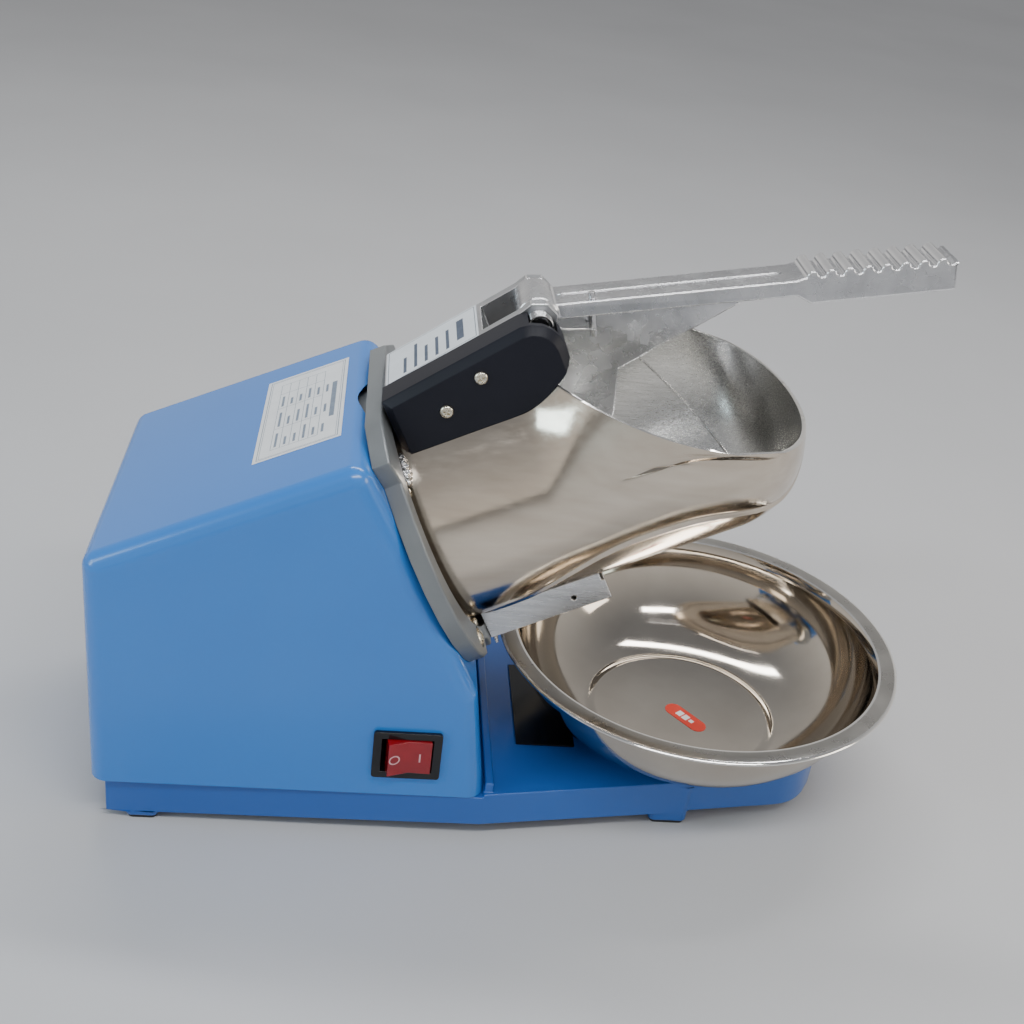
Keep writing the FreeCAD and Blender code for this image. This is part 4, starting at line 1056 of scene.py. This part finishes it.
dress(steel_sheet("ground blade steel", (0.55, 0.55, 0.57), (0.75, 0.75, 0.77), 0.2, 0.35, (1, 8, 8)),
      "blade_disc", "shaving_blades")
dress(casting, "motor_front_bell", "motor_rear_bell")
dress(plain_finish("grey motor paint", (0.16, 0.17, 0.18), (0.22, 0.23, 0.24), 0.4, 0.55), "motor_can")
dress(plain_finish("stacked laminations", (0.20, 0.20, 0.21), (0.34, 0.34, 0.35), 0.35, 0.5, 1.0),
      "stator_core")
dress(plain_finish("enamelled copper", (0.55, 0.20, 0.07), (0.72, 0.32, 0.12), 0.25, 0.4, 1.0, 300.0),
      "stator_windings")
dress(plain_finish("cream moulding", (0.66, 0.62, 0.50), (0.76, 0.72, 0.60), 0.35, 0.5),
      "start_capacitor", "terminal_block")
dress(plain_finish("plunger red", (0.45, 0.02, 0.02), (0.55, 0.03, 0.03), 0.3, 0.4), "microswitch_plunger")
dress(zinc, "face_plate_nuts", "disc_washer", "disc_nut", "motor_bolts")


# ---------------------------------------------------------------- screws
# Zinc-plated pan-head screws with a cross recess hold the parts together. All are the
# same form, set on their seats in different sizes and turned at random.

def screw_form():
    """A unit screw along +Z, its head's radius 1 and its top at 0, with a cross recess."""
    form = bmesh.new()
    outline = [(0.0, -0.02), (0.30, -0.025), (0.55, -0.07), (0.78, -0.16), (0.92, -0.28),
               (0.99, -0.42), (1.0, -0.55), (0.98, -0.66), (0.94, -0.68), (0.45, -0.68),
               (0.45, -2.2), (0.30, -2.4), (0.0, -2.4)]
    around = 40
    turns = [2 * math.pi * i / around for i in range(around)]
    rows = []
    for radius, z in outline[1:-1]:
        rows.append([form.verts.new((radius * math.cos(turn), radius * math.sin(turn), z)) for turn in turns])
    for here, there in zip(rows, rows[1:]):
        for i in range(around):
            form.faces.new((here[i], there[i], there[(i + 1) % around], here[(i + 1) % around]))
    for z, row in ((outline[0][1], rows[0]), (outline[-1][1], rows[-1])):
        middle = form.verts.new((0, 0, z))
        for i in range(around):
            form.faces.new((middle, row[i], row[(i + 1) % around]))
    head = closed_mesh(form, "screw_form")
    cutter = bmesh.new()
    arm, wide, deep, taper = 0.62, 0.15, -0.42, 0.72
    ring = [(wide, wide), (arm, wide), (arm, -wide), (wide, -wide), (wide, -arm), (-wide, -arm),
            (-wide, -wide), (-arm, -wide), (-arm, wide), (-wide, wide), (-wide, arm), (wide, arm)]
    tops = [cutter.verts.new((x, y, 0.3)) for x, y in ring]
    lows = [cutter.verts.new((x * taper, y * taper, deep)) for x, y in ring]
    cutter.faces.new(tops)
    cutter.faces.new(lows[::-1])
    for i in range(12):
        cutter.faces.new((tops[i], lows[i], lows[(i + 1) % 12], tops[(i + 1) % 12]))
    cross = closed_mesh(cutter, "cross")
    piece, tool = placed("screw_form", head), placed("cross", cross)
    cut = piece.modifiers.new("recess", "BOOLEAN")
    cut.object = tool
    cut.solver = "EXACT"
    bpy.context.view_layer.update()
    made = bpy.data.meshes.new_from_object(piece.evaluated_get(bpy.context.evaluated_depsgraph_get()))
    bpy.data.objects.remove(tool)
    piece.data = made
    for polygon in made.polygons:
        polygon.use_smooth = True
    made.set_sharp_from_angle(angle=math.radians(38))
    return piece


def screw_setter():
    """Node group: a screw on each point, along its facing, scaled by the Head radius input."""
    group = bpy.data.node_groups.new("screw setter", "GeometryNodeTree")
    panel = group.interface
    panel.new_socket("Seats", in_out="INPUT", socket_type="NodeSocketGeometry")
    panel.new_socket("Screw", in_out="INPUT", socket_type="NodeSocketObject")
    panel.new_socket("Head radius", in_out="INPUT", socket_type="NodeSocketFloat")
    panel.new_socket("Seed", in_out="INPUT", socket_type="NodeSocketInt")
    panel.new_socket("Finish", in_out="INPUT", socket_type="NodeSocketMaterial")
    panel.new_socket("Screws", in_out="OUTPUT", socket_type="NodeSocketGeometry")
    node = {}
    for key, kind in (("in", "NodeGroupInput"), ("out", "NodeGroupOutput"),
                      ("form", "GeometryNodeObjectInfo"),
                      ("facing", "GeometryNodeInputNamedAttribute"),
                      ("align", "FunctionNodeAlignRotationToVector"),
                      ("spin", "FunctionNodeRandomValue"), ("turn", "FunctionNodeRotateRotation"),
                      ("own", "FunctionNodeAxisAngleToRotation"), ("set", "GeometryNodeInstanceOnPoints"),
                      ("real", "GeometryNodeRealizeInstances"), ("paint", "GeometryNodeSetMaterial")):
        node[key] = group.nodes.new(kind)
    node["facing"].data_type = "FLOAT_VECTOR"
    node["facing"].inputs["Name"].default_value = "facing"
    node["align"].axis = "Z"
    node["spin"].data_type = "FLOAT"
    node["turn"].rotation_space = "LOCAL"
    node["own"].inputs["Axis"].default_value = (0, 0, 1)
    node["spin"].inputs[3].default_value = math.pi
    link = group.links.new
    link(node["in"].outputs["Seats"], node["set"].inputs["Points"])
    link(node["in"].outputs["Screw"], node["form"].inputs["Object"])
    link(node["form"].outputs["Geometry"], node["set"].inputs["Instance"])
    link(node["in"].outputs["Head radius"], node["set"].inputs["Scale"])
    link(node["in"].outputs["Seed"], node["spin"].inputs["Seed"])
    link(node["facing"].outputs["Attribute"], node["align"].inputs["Vector"])
    link(node["spin"].outputs[1], node["own"].inputs["Angle"])
    link(node["align"].outputs["Rotation"], node["turn"].inputs["Rotation"])
    link(node["own"].outputs["Rotation"], node["turn"].inputs["Rotate By"])
    link(node["turn"].outputs["Rotation"], node["set"].inputs["Rotation"])
    link(node["set"].outputs["Instances"], node["real"].inputs["Geometry"])
    link(node["real"].outputs["Geometry"], node["paint"].inputs["Geometry"])
    link(node["in"].outputs["Finish"], node["paint"].inputs["Material"])
    link(node["paint"].outputs["Geometry"], node["out"].inputs["Screws"])
    return group


def islands(mesh):
    """The separate solids of a mesh, as lists of corner points."""
    form = bmesh.new()
    form.from_mesh(mesh)
    bmesh.ops.remove_doubles(form, verts=form.verts, dist=0.002 * MM)
    left, found = set(form.verts), []
    while left:
        queue, seen = [left.pop()], []
        while queue:
            vertex = queue.pop()
            seen.append(vertex.co.copy())
            for edge in vertex.link_edges:
                other = edge.other_vert(vertex)
                if other in left:
                    left.remove(other)
                    queue.append(other)
        found.append(seen)
    form.free()
    return found


unit_screw, setter = screw_form(), screw_setter()


def screws(node, facing, body="machine", seed=1):
    """Screws on a CAD node's own seats; facing is one way for all, or gives one for a place."""
    seats, ways = [], []
    reach = depth = 0
    for points in islands(shapes[node].data):
        way = Vector(facing(points[0]) if callable(facing) else facing).normalized()
        top = max(point.dot(way) for point in points)
        flat = [point - way * point.dot(way) for point in points]
        low = Vector([min(point[i] for point in flat) for i in range(3)])
        high = Vector([max(point[i] for point in flat) for i in range(3)])
        middle = (low + high) / 2
        seats.append(middle + way * top)
        ways.append(way)
        depth = max(depth, top - min(point.dot(way) for point in points))
        reach = max(reach, max((point - middle).length for point in flat))
    seat_points = bpy.data.meshes.new(node + "_seats")
    seat_points.from_pydata(seats, [], [])
    facings = seat_points.attributes.new("facing", "FLOAT_VECTOR", "POINT")
    facings.data.foreach_set("vector", [part for way in ways for part in way])
    piece = placed(node + "_set", seat_points)
    nodes = piece.modifiers.new("screws", "NODES")
    nodes.node_group = setter
    sockets = {item.name: item.identifier for item in setter.interface.items_tree if item.in_out == "INPUT"}
    nodes[sockets["Screw"]] = unit_screw
    nodes[sockets["Head radius"]] = reach
    nodes[sockets["Seed"]] = seed
    nodes[sockets["Finish"]] = zinc
    bpy.context.view_layer.update()
    made = bpy.data.meshes.new_from_object(piece.evaluated_get(bpy.context.evaluated_depsgraph_get()))
    made.name = node + "_set"
    for vertex in made.vertices:
        seat, way = min(zip(seats, ways), key=lambda pair: (vertex.co - pair[0]).length)
        below = (seat - vertex.co).dot(way)
        if below > 0.75 * reach:
            vertex.co += way * (below - min(below, depth - 0.05 * MM))
    piece.modifiers.clear()
    piece.data = made
    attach(piece, body)
    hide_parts(node)
    return piece


screws("switch_housing_screws", (0, -1, 0), seed=3)
screws("face_plate_bolts", axis, seed=5)
screws("hopper_screws", axis, seed=7)
screws("bracket_screws", lambda place: axis if place.y > 20 * MM else -rise, seed=9)
screws("foot_screws", (0, 0, -1), seed=13)
screws("bottom_plate_screws", (0, 0, -1), seed=15)
screws("blade_screws", axis, body="rotor", seed=19)
dress(zinc, "cover_screws", "press_plate_screws", "upper_plate_screws")
bpy.data.objects.remove(unit_screw)
